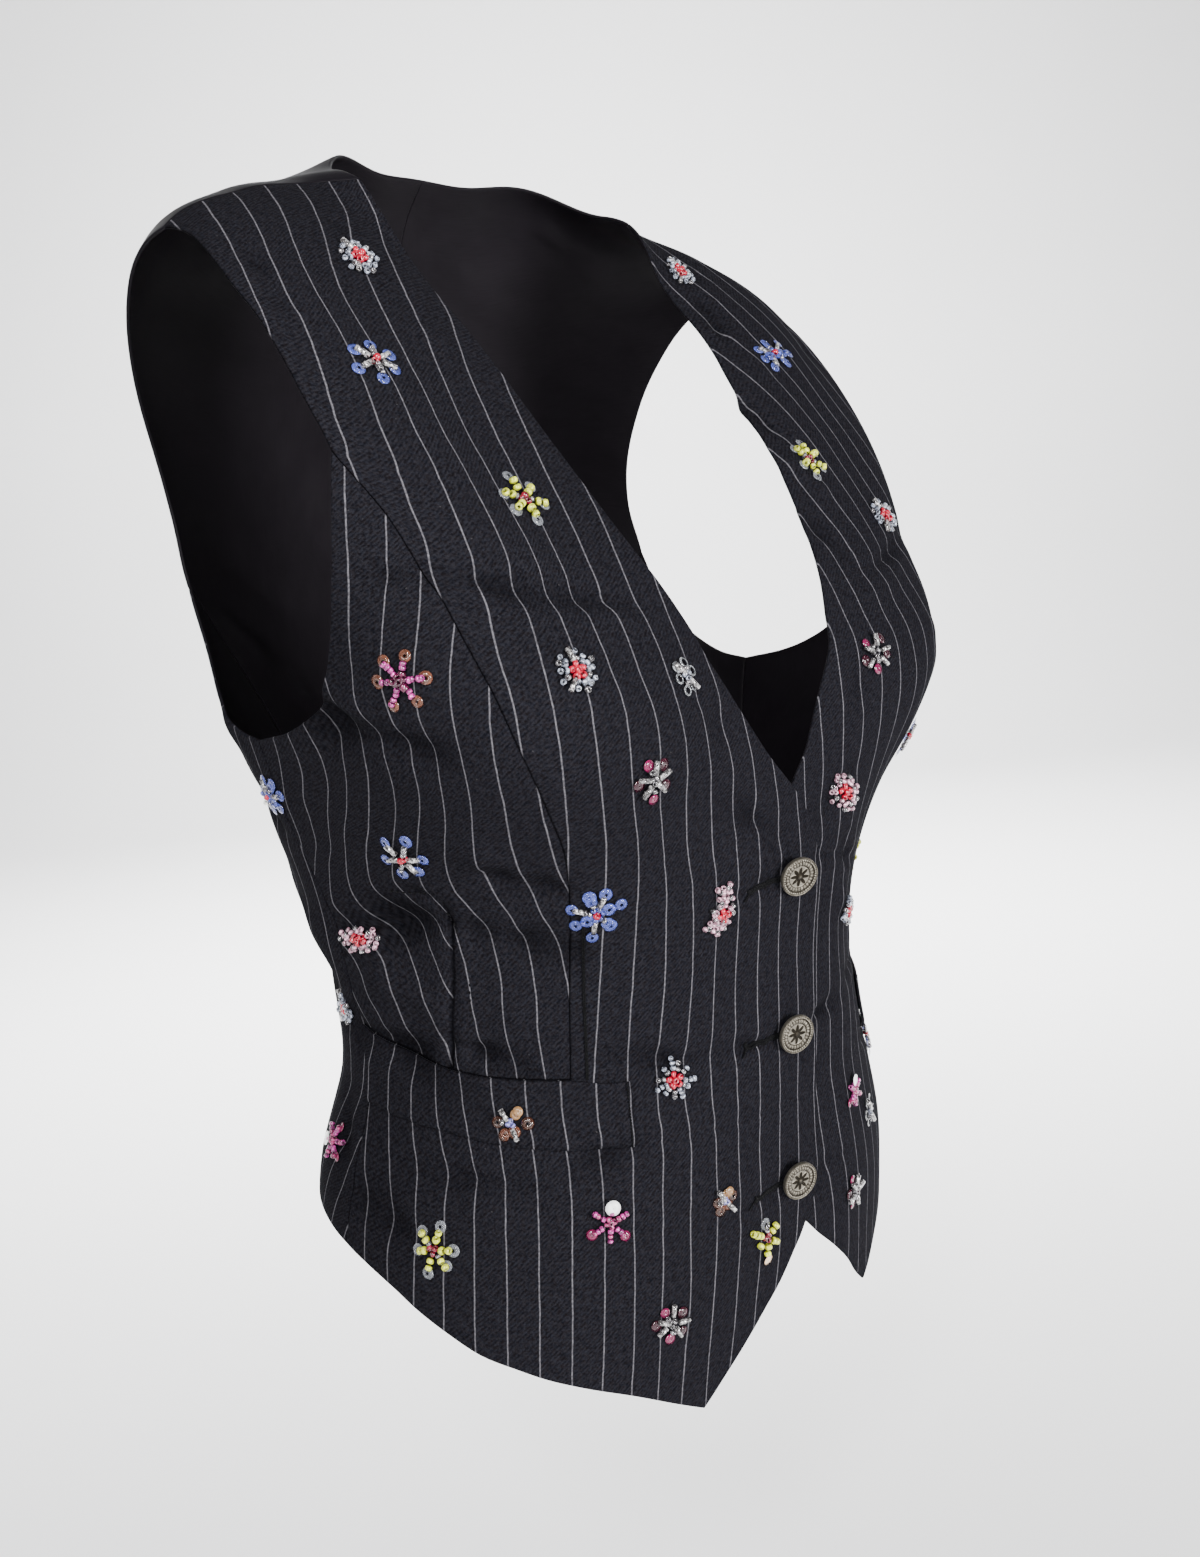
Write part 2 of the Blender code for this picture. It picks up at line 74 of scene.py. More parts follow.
# seams and edges of the wearer's right, as (ring, angle)
NECKLINE = ((0.42, -77.1), (0.69, -69.7), (1.03, -61.6), (1.58, -51.4),
            (2.15, -40.6), (2.81, -32.2), (3.82, -23.9), (4.72, -18.3),
            (5.34, -15.7), (6.1, -11.1), (6.77, -5.9), (7.26, 0.1),
            (7.62, 3.9))
FRONT_EDGE = ((7.62, 3.9), (8.0, 6.2), (8.6, 7.0), (9.85, 7.3))
FRONT_EDGE_WELT = ((9.85, 7.3), (10.62, 7.4))
FRONT_EDGE_LOW = ((10.62, 7.4), (11.35, 7.5))
CUTAWAY = ((11.35, 7.5), (11.72, 6.3), (12.03, 2.0), (12.17, -1.4),
           (12.34, -5.8), (12.48, -10.8), (12.6, -15.6), (12.73, -20.2),
           (12.94, -26.8))
CUTAWAY_LEFT = ((11.35, 7.5), (11.72, 6.4), (11.97, 1.0), (12.01, -4.2),
                (12.07, -6.3), (12.21, -11.1), (12.38, -18.0),
                (12.59, -26.1), (12.76, -31.5), (12.93, -37.2))
HEM_FRONT = ((12.94, -26.8), (12.82, -32.1), (12.63, -41.2), (12.48, -50.1),
             (12.38, -56.1), (12.29, -61.0), (12.2, -66.2), (12.08, -71.0),
             (11.93, -76.6), (11.79, -81.5), (11.67, -87.2), (11.57, -93.6))
HEM_FRONT_LEFT = ((12.93, -37.2), (12.81, -42.0), (12.64, -48.0),
                  (12.46, -54.0), (12.34, -59.0), (12.24, -63.5),
                  (12.14, -68.0), (12.03, -72.5), (11.92, -77.0),
                  (11.79, -81.5), (11.67, -87.2), (11.57, -93.6))
SHOULDER = ((0.42, -77.1), (1.0, -81.4), (1.87, -83.2), (2.51, -84.8),
            (3.03, -88.6))
ARMHOLE_FRONT = ((3.03, -88.6), (3.11, -82.6), (3.21, -79.0), (3.39, -73.9),
                 (3.52, -70.0), (3.7, -66.8), (3.85, -64.8), (4.0, -63.0),
                 (4.13, -61.9))
PRINCESS = ((4.13, -61.9), (4.36, -57.1), (4.68, -53.9), (4.94, -51.6),
            (5.64, -48.2), (6.27, -46.2), (6.9, -44.6), (7.5, -43.6),
            (8.25, -45.0), (8.98, -47.2), (9.80, -49.2))
WAIST_LAP = ((9.85, 7.3), (9.88, -15.0), (9.88, -38.6))
WAIST_WELT = ((9.88, -38.6), (9.86, -43.5), (9.80, -49.2))
WAIST_SIDE = ((9.80, -49.2), (9.76, -60.0), (9.70, -69.0), (9.60, -78.0),
              (9.46, -86.0), (9.33, -92.3))
LOWER_LAP = ((10.62, 7.4), (10.6, -15.0), (10.56, -38.6))
LOWER_WELT = ((10.56, -38.6), (10.53, -44.0), (10.5, -49.6))
LOWER_SIDE = ((10.5, -49.6), (10.4, -62.3), (10.3, -71.7), (10.22, -82.9),
              (10.15, -92.6))
SIDE_SEAM_WELT = ((9.33, -92.3), (10.15, -92.6))
SIDE_SEAM_LOW = ((10.15, -92.6), (10.9, -93.0), (11.57, -93.6))

# Where the warp threads lie: millimetres across the grain of the flat cut,
# at rows down the front and every second step across it.  The upper front
# stops at the sixth column; the rest of its rows only carry the curve on.
FRONT_GRAIN = (
    (36.2, 56.2, 70.3, 84.2, 100.7, 117.2, 133.8, 150.5, 167.1, 183.8),
    (34.3, 52, 65.9, 79.1, 95.8, 113.1, 130.3, 147.5, 164.8, 182),
    (28.3, 45, 59.8, 73.6, 92.1, 111.4, 130.7, 150.1, 169.5, 188.9),
    (25.6, 39.9, 53.5, 68.1, 88.1, 109.5, 130.9, 152.2, 173.5, 194.8),
    (22.1, 35.1, 48.7, 63, 84.8, 105.5, 126, 146.5, 167, 187.5),
    (15.3, 28.8, 44.1, 60.5, 82.1, 101.7, 121.6, 141.4, 161.2, 181),
    (9.6, 23.6, 39.1, 58.7, 79.4, 98.8, 118.2, 137.7, 157.1, 176.6),
    (5.1, 20, 35, 56, 76.5, 95.5, 114.2, 132.9, 151.6, 170.3),
    (0.7, 16.7, 33.5, 55.6, 74.5, 93, 111.2, 129.4, 147.5, 165.7),
    (-3.3, 12.5, 28.5, 50.6, 68.7, 86.8, 104.5, 122.3, 140, 157.7),
    (-9, 7.2, 22.6, 44.7, 63.8, 82.3, 100.4, 118.5, 136.6, 154.7),
    (-16.5, 2, 18.1, 38.7, 58.4, 76.7, 94.9, 113.1, 131.3, 149.5),
    (-23.7, -2.4, 14.9, 34, 53.1, 72.6, 92, 111.5, 130.9, 150.3),
    (-30.4, -9.1, 9.3, 28.8, 48.1, 69, 89.6, 110.2, 130.8, 151.4),
    (-40, -18.6, 2.2, 21.6, 42.4, 64.9, 87.1, 109.3, 131.5, 153.7),
    (-49.9, -27.9, -7, 13.6, 37, 59.6, 82.3, 104.9, 127.6, 150.3),
    (-62.2, -38.8, -17.3, 5.3, 32.2, 55.3, 78.7, 102, 125.4, 148.8),
    (-72.9, -48, -24.7, -0.2, 28.7, 51.4, 74.4, 97.5, 120.5, 143.6),
    (-78, -52.5, -27.2, 0.6, 27.3, 50.1, 73.2, 96.2, 119.3, 142.3),
    (-78.5, -53.3, -26.9, 2.1, 26.8, 49.8, 72.7, 95.6, 118.5, 141.4),
    (-78.3, -53.5, -26.8, 2.9, 26.6, 49.3, 71.9, 94.5, 117.1, 139.7),
    (-78.2, -53.7, -27.3, 1, 25.5, 48, 70.6, 93.2, 115.8, 138.5),
    (-78.5, -53.9, -27.8, -1.9, 24.5, 46.4, 69.1, 92.3, 120.6, 148.4),
    (-78.7, -53.8, -28.1, -2.5, 23.5, 46.2, 69.2, 92.3, 117.4, 142.1),
    (-79, -53.9, -28.3, -1.7, 23.6, 47.5, 71.2, 94.7, 117.4, 139.9),
    (-78.7, -57.2, -33.2, -7.4, 17.1, 44.5, 70.6, 97.7, 119.9, 141.7),
    (-78.5, -60.5, -38.2, -13.4, 9.8, 39.5, 67.7, 96.6, 122.1, 144.2),
    (-78.4, -63.9, -43.3, -19.7, 3.1, 33.8, 64.2, 94.3, 122.3, 146.6),
    (-78.4, -67.4, -48.5, -26.3, -4.8, 27.8, 60.4, 92.3, 121.5, 149.4),
    (-78.5, -70.9, -53.9, -33.1, -12.5, 21.1, 56.1, 90.3, 120.7, 152.4))
# the left front is cut with its stripes this far along, every fourth row
LEFT_GRAIN_SHIFT = (56.0, 57.0, 47.0, 38.0, 42.0, 40.0, 44.0, 47.0, 47.0)

# Folds laid in: start, middle and end as (ring, angle), then half
# # width and depth in mm; a trough is negative. They are those of the
# wearer's right; the left has the same ones, a little shifted and softer.
FOLDS = (
    ((4.62, -52), (4.5, -42), (4.4, -26), 5.0, -3.0),
    ((4.72, -41), (4.66, -33), (4.7, -24), 6.0, 1.1),
    ((6.12, -82), (6.14, -66), (6.42, -52), 8.0, -4.4),
    ((5.0, -62), (4.8, -56), (4.6, -50), 4.5, -1.8),
    ((7.1, -19), (7.42, -11), (7.8, -3), 6.0, -2.2),
    ((5.78, -74), (5.95, -67), (6.1, -58), 9.0, 2.6),
    ((7.76, -74), (7.80, -67), (8.1, -64.5), 3.2, -1.9),
    ((8.25, -92), (8.12, -72), (8.3, -56), 8.5, -4.6),
    ((8.3, -58), (8.42, -50), (8.62, -41), 6.5, -3.0),
    ((8.6, -90), (8.85, -78), (9.0, -68), 8.0, 2.1),
    ((7.5, -58), (7.7, -50), (7.95, -42), 5.5, -2.8),
    ((7.15, -60), (7.4, -54), (7.7, -48), 8.0, 1.8),
    ((9.4, -73), (9.5, -64), (9.76, -55), 4.5, -3.4),
    ((9.45, -98), (9.45, -84), (9.9, -66), 8.5, -3.8),
    ((8.9, -66), (9.1, -57), (9.3, -51), 7.0, 1.6),
    ((9.5, -48), (9.72, -33), (9.78, -22), 4.5, -2.4),
    ((10.68, -53), (10.6, -44), (10.5, -36), 5.0, -2.2),
    ((11.0, -94), (11.15, -84), (11.4, -74), 8.0, -2.6),
    ((10.66, -84), (10.72, -68), (10.86, -55), 5.0, -2.2),
    ((11.0, -80), (11.1, -66), (11.3, -52), 9.0, 1.4),
    ((8.28, -21), (8.17, -11), (8.15, -3), 4.0, -1.4),
    ((9.78, -24), (9.82, -13), (9.87, -3), 4.0, -2.2),
    ((11.6, -19), (11.53, -10), (11.55, -3), 4.0, -1.4),
    ((1.62, -72), (1.75, -68), (1.9, -64), 4.5, -1.8),
    ((2.95, -76), (3.1, -71), (3.35, -67), 5.0, -1.9),
    ((2.0, -55), (2.4, -51), (2.85, -49), 6.0, 1.4),
    ((5.6, -23), (6.1, -18), (6.75, -13), 6.5, -1.4),
    ((5.2, -42), (5.8, -46), (6.4, -50), 9.0, 1.3),
    ((11.2, -96), (10.6, -99), (9.9, -101), 8.0, -2.2),
    ((9.6, -96), (8.9, -104), (8.3, -115), 8.0, -2.9),
    ((8.9, -95), (8.2, -102), (7.6, -112), 9.0, 1.9),
    ((7.3, -94), (6.9, -103), (6.6, -114), 7.0, -2.9),
    ((6.5, -96), (6.2, -102), (5.9, -108), 6.0, 1.6),
    ((5.3, -117), (5.9, -128), (6.5, -142), 8.0, -3.0),
    ((4.6, -119), (5.1, -130), (5.6, -144), 10.0, 2.1),
    ((8.7, -138), (9.1, -153), (9.2, -170), 7.0, -2.6),
    ((9.4, -140), (9.7, -156), (9.75, -172), 7.0, -2.1),
    ((8.2, -142), (8.5, -156), (8.6, -171), 9.0, 1.9),
    ((1.0, -172), (1.5, -150), (2.3, -130), 10.0, -2.4),
    ((0.7, -120), (1.4, -112), (2.4, -108), 7.0, -1.9),
    ((10.3, -142), (10.7, -152), (11.0, -165), 9.0, 1.6))
FOLDS_LEFT_ONLY = (
    ((1.6, 62), (1.85, 56), (2.08, 50), 5.0, -2.7),
    ((2.2, 37), (2.55, 38), (2.95, 39), 5.5, -2.8),
    ((2.8, 33), (3.2, 35), (3.6, 38), 6.0, 2.0),
    ((3.38, 28), (3.8, 29), (4.25, 31), 6.5, -2.1),
    ((7.9, 16), (8.2, 20), (8.3, 27), 4.5, -2.4),
    ((8.45, 15), (8.7, 20), (8.8, 27), 4.5, 1.5))


def spline(rows, place):
    """Smooth curve through the rows at fractional row numbers."""
    rows = np.asarray(rows, float)
    last = len(rows) - 1
    place = np.clip(np.asarray(place, float), 0, last)
    index = np.clip(place.astype(int), 0, last - 1)
    part = (place - index)[..., None]
    start, end = rows[index], rows[index + 1]
    before = rows[np.clip(index - 1, 0, last)]
    after = rows[np.clip(index + 2, 0, last)]
    before = np.where((index == 0)[..., None], 2 * start - end, before)
    after = np.where((index == last - 1)[..., None], 2 * end - start, after)
    curve = 2 * before - 5 * start + 4 * end - after
    bend = 3 * (start - end) + after - before
    return start + 0.5 * part * ((end - before) + part * (curve + part * bend))


def form_point(ring, angle):
    """Point on the body form, mm."""
    turn = np.radians(angle)
    row = spline(RINGS, np.asarray(ring, float) + 0 * turn)
    z_front, z_side, z_back, half, x_mid, y_mid = np.moveaxis(row, -1, 0)[:6]
    before, behind, round_front, round_back = np.moveaxis(row, -1, 0)[6:]
    across, ahead = np.sin(turn), np.cos(turn)
    depth = np.where(ahead >= 0, before, behind)
    power = np.where(ahead >= 0, round_front, round_back)
    level = np.where(ahead >= 0, z_front, z_back)
    reach = (np.abs(ahead / depth) ** power
             + np.abs(across / half) ** power) ** (-1 / power)
    height = z_side + (level - z_side) * (reach * ahead / depth) ** 2
    around = (np.asarray(angle) + 180.0) % 360.0 - 180.0
    for place, spread, at, tall, out, rise in SWELLS:
        bell = np.exp(-0.5 * ((ring - at) / tall) ** 2)
        bell = bell * (np.exp(-0.5 * ((around - place) / spread) ** 2)
                       + np.exp(-0.5 * ((around + place) / spread) ** 2))
        reach = reach + out * bell
        height = height + rise * bell
    return np.stack([x_mid + reach * across, y_mid - reach * ahead, height],
                    -1)


def form_normal(ring, angle):
    """Unit vector out of the form."""
    ring = np.clip(ring, 0.01, len(RINGS) - 1.01)
    down = form_point(ring + 0.01, angle) - form_point(ring - 0.01, angle)
    round_ = form_point(ring, angle + 0.1) - form_point(ring, angle - 0.1)
    normal = np.cross(down, round_)
    return normal / np.linalg.norm(normal, axis=-1, keepdims=True)


def fold_lines():
    """Each fold as points in space, its half width and its depth."""
    table = list(FOLDS)
    for number, (*bends, width, depth) in enumerate(FOLDS):
        slip = 0.12 * math.sin(2.4 * number)
        mirrored = [(ring + slip, 2.5 * math.cos(1.7 * number) - angle)
                    for ring, angle in bends]
        soft = 0.8 + 0.15 * math.sin(1.3 * number)
        table.append((*mirrored, width * (1.1 - 0.2 * soft), depth * soft))
    share = np.linspace(0, 1, 13)[:, None]
    lines = []
    for *bends, width, depth in (*table, *FOLDS_LEFT_ONLY):
        start, middle, end = np.array(bends, float)
        handle = 2 * middle - 0.5 * (start + end)
        path = ((1 - share) ** 2 * start + 2 * share * (1 - share) * handle
                + share * share * end)
        lines.append((form_point(path[:, 0], path[:, 1]), width, depth))
    return lines


FOLD_LINES = fold_lines()


def fold_height(point):
    """How far the cloth stands off its form: folds and a low unevenness."""
    flat = point.reshape(-1, 3)
    height = np.zeros(len(flat))
    for line, width, depth in FOLD_LINES:
        middle = line.mean(0)
        reach = np.linalg.norm(line - middle, axis=1).max() + 3 * width
        near = np.where(np.linalg.norm(flat - middle, axis=1) < reach)[0]
        if len(near) == 0:
            continue
        best = np.full(len(near), 1e9)
        share = np.zeros(len(near))
        count = len(line) - 1
        for k in range(count):
            along = line[k + 1] - line[k]
            t = ((flat[near] - line[k]) @ along) / (along @ along)
            t = np.clip(t, 0, 1)
            gap = np.linalg.norm(flat[near] - line[k] - t[:, None] * along,
                                 axis=1)
            closer = gap < best
            best = np.where(closer, gap, best)
            share = np.where(closer, (k + t) / count, share)
        taper = np.sin(math.pi * np.clip(share, 0.02, 0.98)) ** 0.8
        wide = width * (1 + 0.35 * np.sin(8 * share + 3 * depth))
        uneven = 1 + 0.3 * np.sin(13 * share + 5 * depth)
        height[near] += depth * taper * uneven * np.exp(-(best / wide) ** 2)
    x, y, z = flat.T
    height += (0.30 * np.sin(x / 17 + 1.3 * np.sin(z / 41))
               * np.sin(z / 23 + y / 31))
    height += 0.16 * np.sin(x / 7.1 + z / 9.7 + 2 * np.sin(y / 23))
    return height.reshape(point.shape[:-1])


def sink_of(point):
    """How far the left front lies inside the form under the lap."""
    past = np.clip((point[..., 0] - LAP_FULL) / (LAP_END - LAP_FULL), 0, 1)
    return LAP_SINK * (1 - past * past * (3 - 2 * past))


def run(table, share):
    """Points at shares of the real length along one table."""
    fine = spline(table, np.linspace(0, len(table) - 1, 40 * len(table)))
    world = form_point(fine[:, 0], fine[:, 1])
    length = np.linalg.norm(np.diff(world, axis=0), axis=1)
    length = np.concatenate([[0], np.cumsum(length)])
    return np.stack([np.interp(share * length[-1], length, fine[:, k])
                     for k in (0, 1)], -1)


def chain(parts, places):
    """Points at places, counted in steps, along tables laid end to end."""
    out = np.empty((len(places), 2))
    start = 0
    for table, steps in parts:
        here = (places > start - 1e-6) & (places < start + steps + 1e-6)
        out[here] = run(table, (places[here] - start) / steps)
        start += steps
    return out


def patch(top, bottom, left, right, down, over):
    """Coons patch between four edges at shares down and over."""
    down, over = down[:, None, None], over[None, :, None]
    sides = (1 - over) * left[:, None] + over * right[:, None]
    ends = (1 - down) * top[None] + down * bottom[None]
    corners = ((1 - down) * ((1 - over) * top[0] + over * top[-1])
               + down * ((1 - over) * bottom[0] + over * bottom[-1]))
    return sides + ends - corners


def places(last, per_step, close, *lines):
    """Line places from 0 to last, closer together beside the first and the
    last of them and beside the other lines named."""
    wanted = list(np.linspace(0, last, last * per_step + 1))
    for line in (0, *lines, last):
        for k in (0.35, 0.9, 1.7):
            wanted += [line - k * close, line + k * close]
    wanted = sorted(p for p in wanted if 0 <= p <= last)
    kept = [wanted[0]]
    for place in wanted[1:]:
        if place - kept[-1] > 0.3 * close:
            kept.append(place)
    kept[-1] = last
    return np.array(kept)


# steps down a front to the top of its princess seam, the top of its front
# edge, the waist, the foot of the welt and the hem; then steps across it to
# the end of the lap, its seam and its side
PRINCESS_ROW, EDGE_ROW, WAIST_ROW, WELT_ROW, HEM_ROW = 8, 17, 22, 24, 29
LAP_COLUMN, SEAM_COLUMN, COLUMNS = 8, 10, 18
FRONT_ROWS = places(HEM_ROW, 8, 0.03, WAIST_ROW)
FRONT_COLUMNS = places(COLUMNS, 5, 0.04, SEAM_COLUMN)
ABOVE_WAIST = ((ARMHOLE_FRONT, PRINCESS_ROW),
               (PRINCESS, WAIST_ROW - PRINCESS_ROW))


def front_net(cutaway, hem):
    """(ring, angle) all over a front; the upper part is the narrower."""
    rows, columns = FRONT_ROWS, FRONT_COLUMNS
    high, low = rows[rows <= WAIST_ROW], rows[rows >= WAIST_ROW]
    slim = columns[columns <= SEAM_COLUMN]
    lap, welt = LAP_COLUMN, SEAM_COLUMN - LAP_COLUMN
    side = COLUMNS - SEAM_COLUMN
    upper = patch(run(SHOULDER, slim / SEAM_COLUMN),
                  chain(((WAIST_LAP, lap), (WAIST_WELT, welt)), slim),
                  chain(((NECKLINE, EDGE_ROW),
                         (FRONT_EDGE, WAIST_ROW - EDGE_ROW)), high),
                  chain(ABOVE_WAIST, high),
                  high / WAIST_ROW, slim / SEAM_COLUMN)
    waist = chain(((WAIST_LAP, lap), (WAIST_WELT, welt), (WAIST_SIDE, side)),
                  columns)
    lower = chain(((LOWER_LAP, lap), (LOWER_WELT, welt), (LOWER_SIDE, side)),
                  columns)
    hem_line = chain(((cutaway, lap), (hem, welt + side)), columns)
    down = (low[low <= WELT_ROW] - WAIST_ROW) / (WELT_ROW - WAIST_ROW)
    band = patch(waist, lower, run(FRONT_EDGE_WELT, down),
                 run(SIDE_SEAM_WELT, down), down, columns / COLUMNS)
    down = (low[low >= WELT_ROW] - WELT_ROW) / (HEM_ROW - WELT_ROW)
    skirt = patch(lower, hem_line, run(FRONT_EDGE_LOW, down),
                  run(SIDE_SEAM_LOW, down), down, columns / COLUMNS)
    net = np.full((len(rows), len(columns), 2), np.nan)
    net[:len(high), :len(slim)] = upper
    net[len(high) - 1:] = np.concatenate([band, skirt[1:]])
    return net


def grain_of(table, rows, columns):
    """Millimetres across the grain at every line of a net, from places
    counted in the table's own rows and columns."""
    return spline(spline(table, rows).T, columns).T


def arc(points, axis):
    """Length along the net's lines from their first cloth point, mm."""
    step = np.linalg.norm(np.diff(points, axis=axis), axis=-1)
    pad = [(0, 0), (0, 0)]
    pad[axis] = (1, 0)
    return np.cumsum(np.pad(np.nan_to_num(step), pad), axis=axis)


def up_from(points):
    """Length up the net's columns from its last row, mm."""
    length = arc(points, 0)
    return length[-1] - length


def edge_drop(points, sides, thick):
    """How far both faces draw in beside an edge or seam, mm."""
    drop = np.zeros(points.shape[:2])
    there = ~np.isnan(points[..., 0])
    for side, round_ in sides.items():
        axis = 0 if side in ("top", "bottom") else 1
        length = arc(points, axis)
        if side in ("bottom", "right"):
            length = np.where(there, length, -1).max(
                axis=axis, keepdims=True) - length
        else:
            length = length - np.where(there, length, 1e9).min(
                axis=axis, keepdims=True)
        near = np.clip(1 - length / round_, 0, 1)
        curve = round_ * (1 - np.sqrt(1 - near ** 2))
        drop = np.maximum(drop, np.minimum(curve, 0.46 * thick))
    return drop


def keep(mesh, name, values):
    """Store a number or a vector for each point of a mesh."""
    values = np.asarray(values, np.float32)
    kind, field = (("FLOAT_VECTOR", "vector") if values.ndim == 2
                   else ("FLOAT", "value"))
    layer = mesh.attributes.new(name, kind, "POINT")
    layer.data.foreach_set(field, values.reshape(-1))


def linked(name, data):
    """An object of a mesh, lamp or camera, in the scene."""
    item = bpy.data.objects.new(name, data)
    bpy.context.scene.collection.objects.link(item)
    return item


def cloth_piece(name, net, flat, sides, material, lining, top=0.0, thick=WALL,
                sunk=False, pleat=0.0, flat_right=None, split=None):
    """Closed piece of cloth between an outer and an inner face of one net.

    flat holds the place of each point in the flat cut, mm; right of column
    split the cloth takes its places from flat_right, because a dart parts it.
    """
    there = ~np.isnan(net[..., 0])
    solid = np.nan_to_num(net)
    form = form_point(solid[..., 0], solid[..., 1])
    normal = form_normal(solid[..., 0], solid[..., 1])
    fold = fold_height(form)
    shift = fold + top
    if sunk:
        shift = shift - sink_of(form)
    form[~there] = np.nan
    drop = edge_drop(form, sides, thick)
    seams = {side: SEAM for side, round_ in sides.items() if round_ == SEAM}
    outer = form + normal * (shift - drop - pleat)[..., None]
    inner = form + normal * (shift - thick + drop)[..., None]
    number = np.full(there.shape, -1)
    number[there] = np.arange(there.sum())
    cells = there[:-1, :-1] & there[1:, :-1] & there[:-1, 1:] & there[1:, 1:]
    quads = np.stack([c[cells] for c in
                      (number[:-1, :-1], number[1:, :-1], number[1:, 1:],
                       number[:-1, 1:])], -1)
    count = there.sum()
    # rim: cell edges with cloth on one side only
    wide = np.pad(cells, 1)
    rim = []
    for r, c in zip(*np.where(cells)):
        ring = (number[r, c], number[r + 1, c], number[r + 1, c + 1],
                number[r, c + 1])
        for k, (dr, dc) in enumerate(((0, -1), (1, 0), (0, 1), (-1, 0))):
            if not wide[r + 1 + dr, c + 1 + dc]:
                a, b = ring[k], ring[(k + 1) % 4]
                rim.append((b, a, a + count, b + count, c))
    rim = np.array(rim)
    points = np.concatenate([outer[there], inner[there]]) * MM
    faces = np.concatenate([quads, quads[:, ::-1] + count, rim[:, :4]])
    a, b, c = (points[quads[:, k]] for k in (0, 1, 2))
    if (np.cross(b - a, c - a) * normal[there][quads[:, 0]]).sum() < 0:
        faces = faces[:, ::-1]
    mesh = bpy.data.meshes.new(name)
    mesh.from_pydata(points.tolist(), [], faces.tolist())
    mesh.shade_smooth()
    mesh.polygons.foreach_set("material_index", np.repeat(
        [0, 1, 0], [len(quads), len(quads), len(rim)]))
    mesh.materials.append(material)
    mesh.materials.append(lining)
    corners = (np.concatenate([flat[there]] * 2) * MM)[faces]
    if split is not None:
        other = (np.concatenate([flat_right[there]] * 2) * MM)[faces]
        column = np.where(cells)[1]
        past = np.concatenate([column, column, rim[:, 4]]) >= split
        corners = np.where(past[:, None, None], other, corners)
    layer = mesh.uv_layers.new(name="flat_cut")
    layer.uv.foreach_set("vector", corners.reshape(-1).astype(np.float32))
    # painted shade: the colour is darkened where seams, the dart and fold
    # troughs sink in and shade falls; a crease 4 mm deep counts as much as a
    # seam
    crease_shade = np.clip((-fold - 0.35) / 4.0, 0, 1)
    painted_shade = (edge_drop(form, seams, thick) + pleat) / 0.7 + 0.62 * crease_shade
    keep(mesh, "painted_shade", np.tile(np.clip(painted_shade, 0, 1)[there], 2))
    mesh.update()
    piece = linked(name, mesh)
    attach(piece, "root")
    return piece


def linear(colour):
    """Linear RGBA from an sRGB hex colour."""
    parts = [int(colour[k:k + 2], 16) / 255 for k in (1, 3, 5)]
    return (*[c / 12.92 if c <= 0.04045 else ((c + 0.055) / 1.055) ** 2.4
              for c in parts], 1.0)


def fill(tree, item, inputs):
    """Give a node's inputs: values, sockets, or nodes for their output."""
    for key, value in inputs.items():
        if isinstance(value, bpy.types.Node):
            value = next(out for out in value.outputs if out.enabled)
        if isinstance(value, bpy.types.NodeSocket):
            tree.links.new(value, item.inputs[key])
        else:
            item.inputs[key].default_value = value


def add(tree, kind, inputs, **settings):
    """One node with its settings and links."""
    item = tree.nodes.new(kind)
    for key, value in settings.items():
        setattr(item, key, value)
    fill(tree, item, inputs)
    return item


def new_material(name):
    """Empty material with its tree and shader."""
    material = bpy.data.materials.new(name)
    material.use_nodes = True
    tree = material.node_tree
    return material, tree, tree.nodes["Principled BSDF"]


STRIPE_PITCH = 12.7             # half an inch
STRIPE_WIDTH = 0.5
# real twill lines are about 0.5 mm apart; drawn three times as far apart, so
# that the cloth's grain shows in a picture of the whole garment
TWILL_PITCH = 1.4


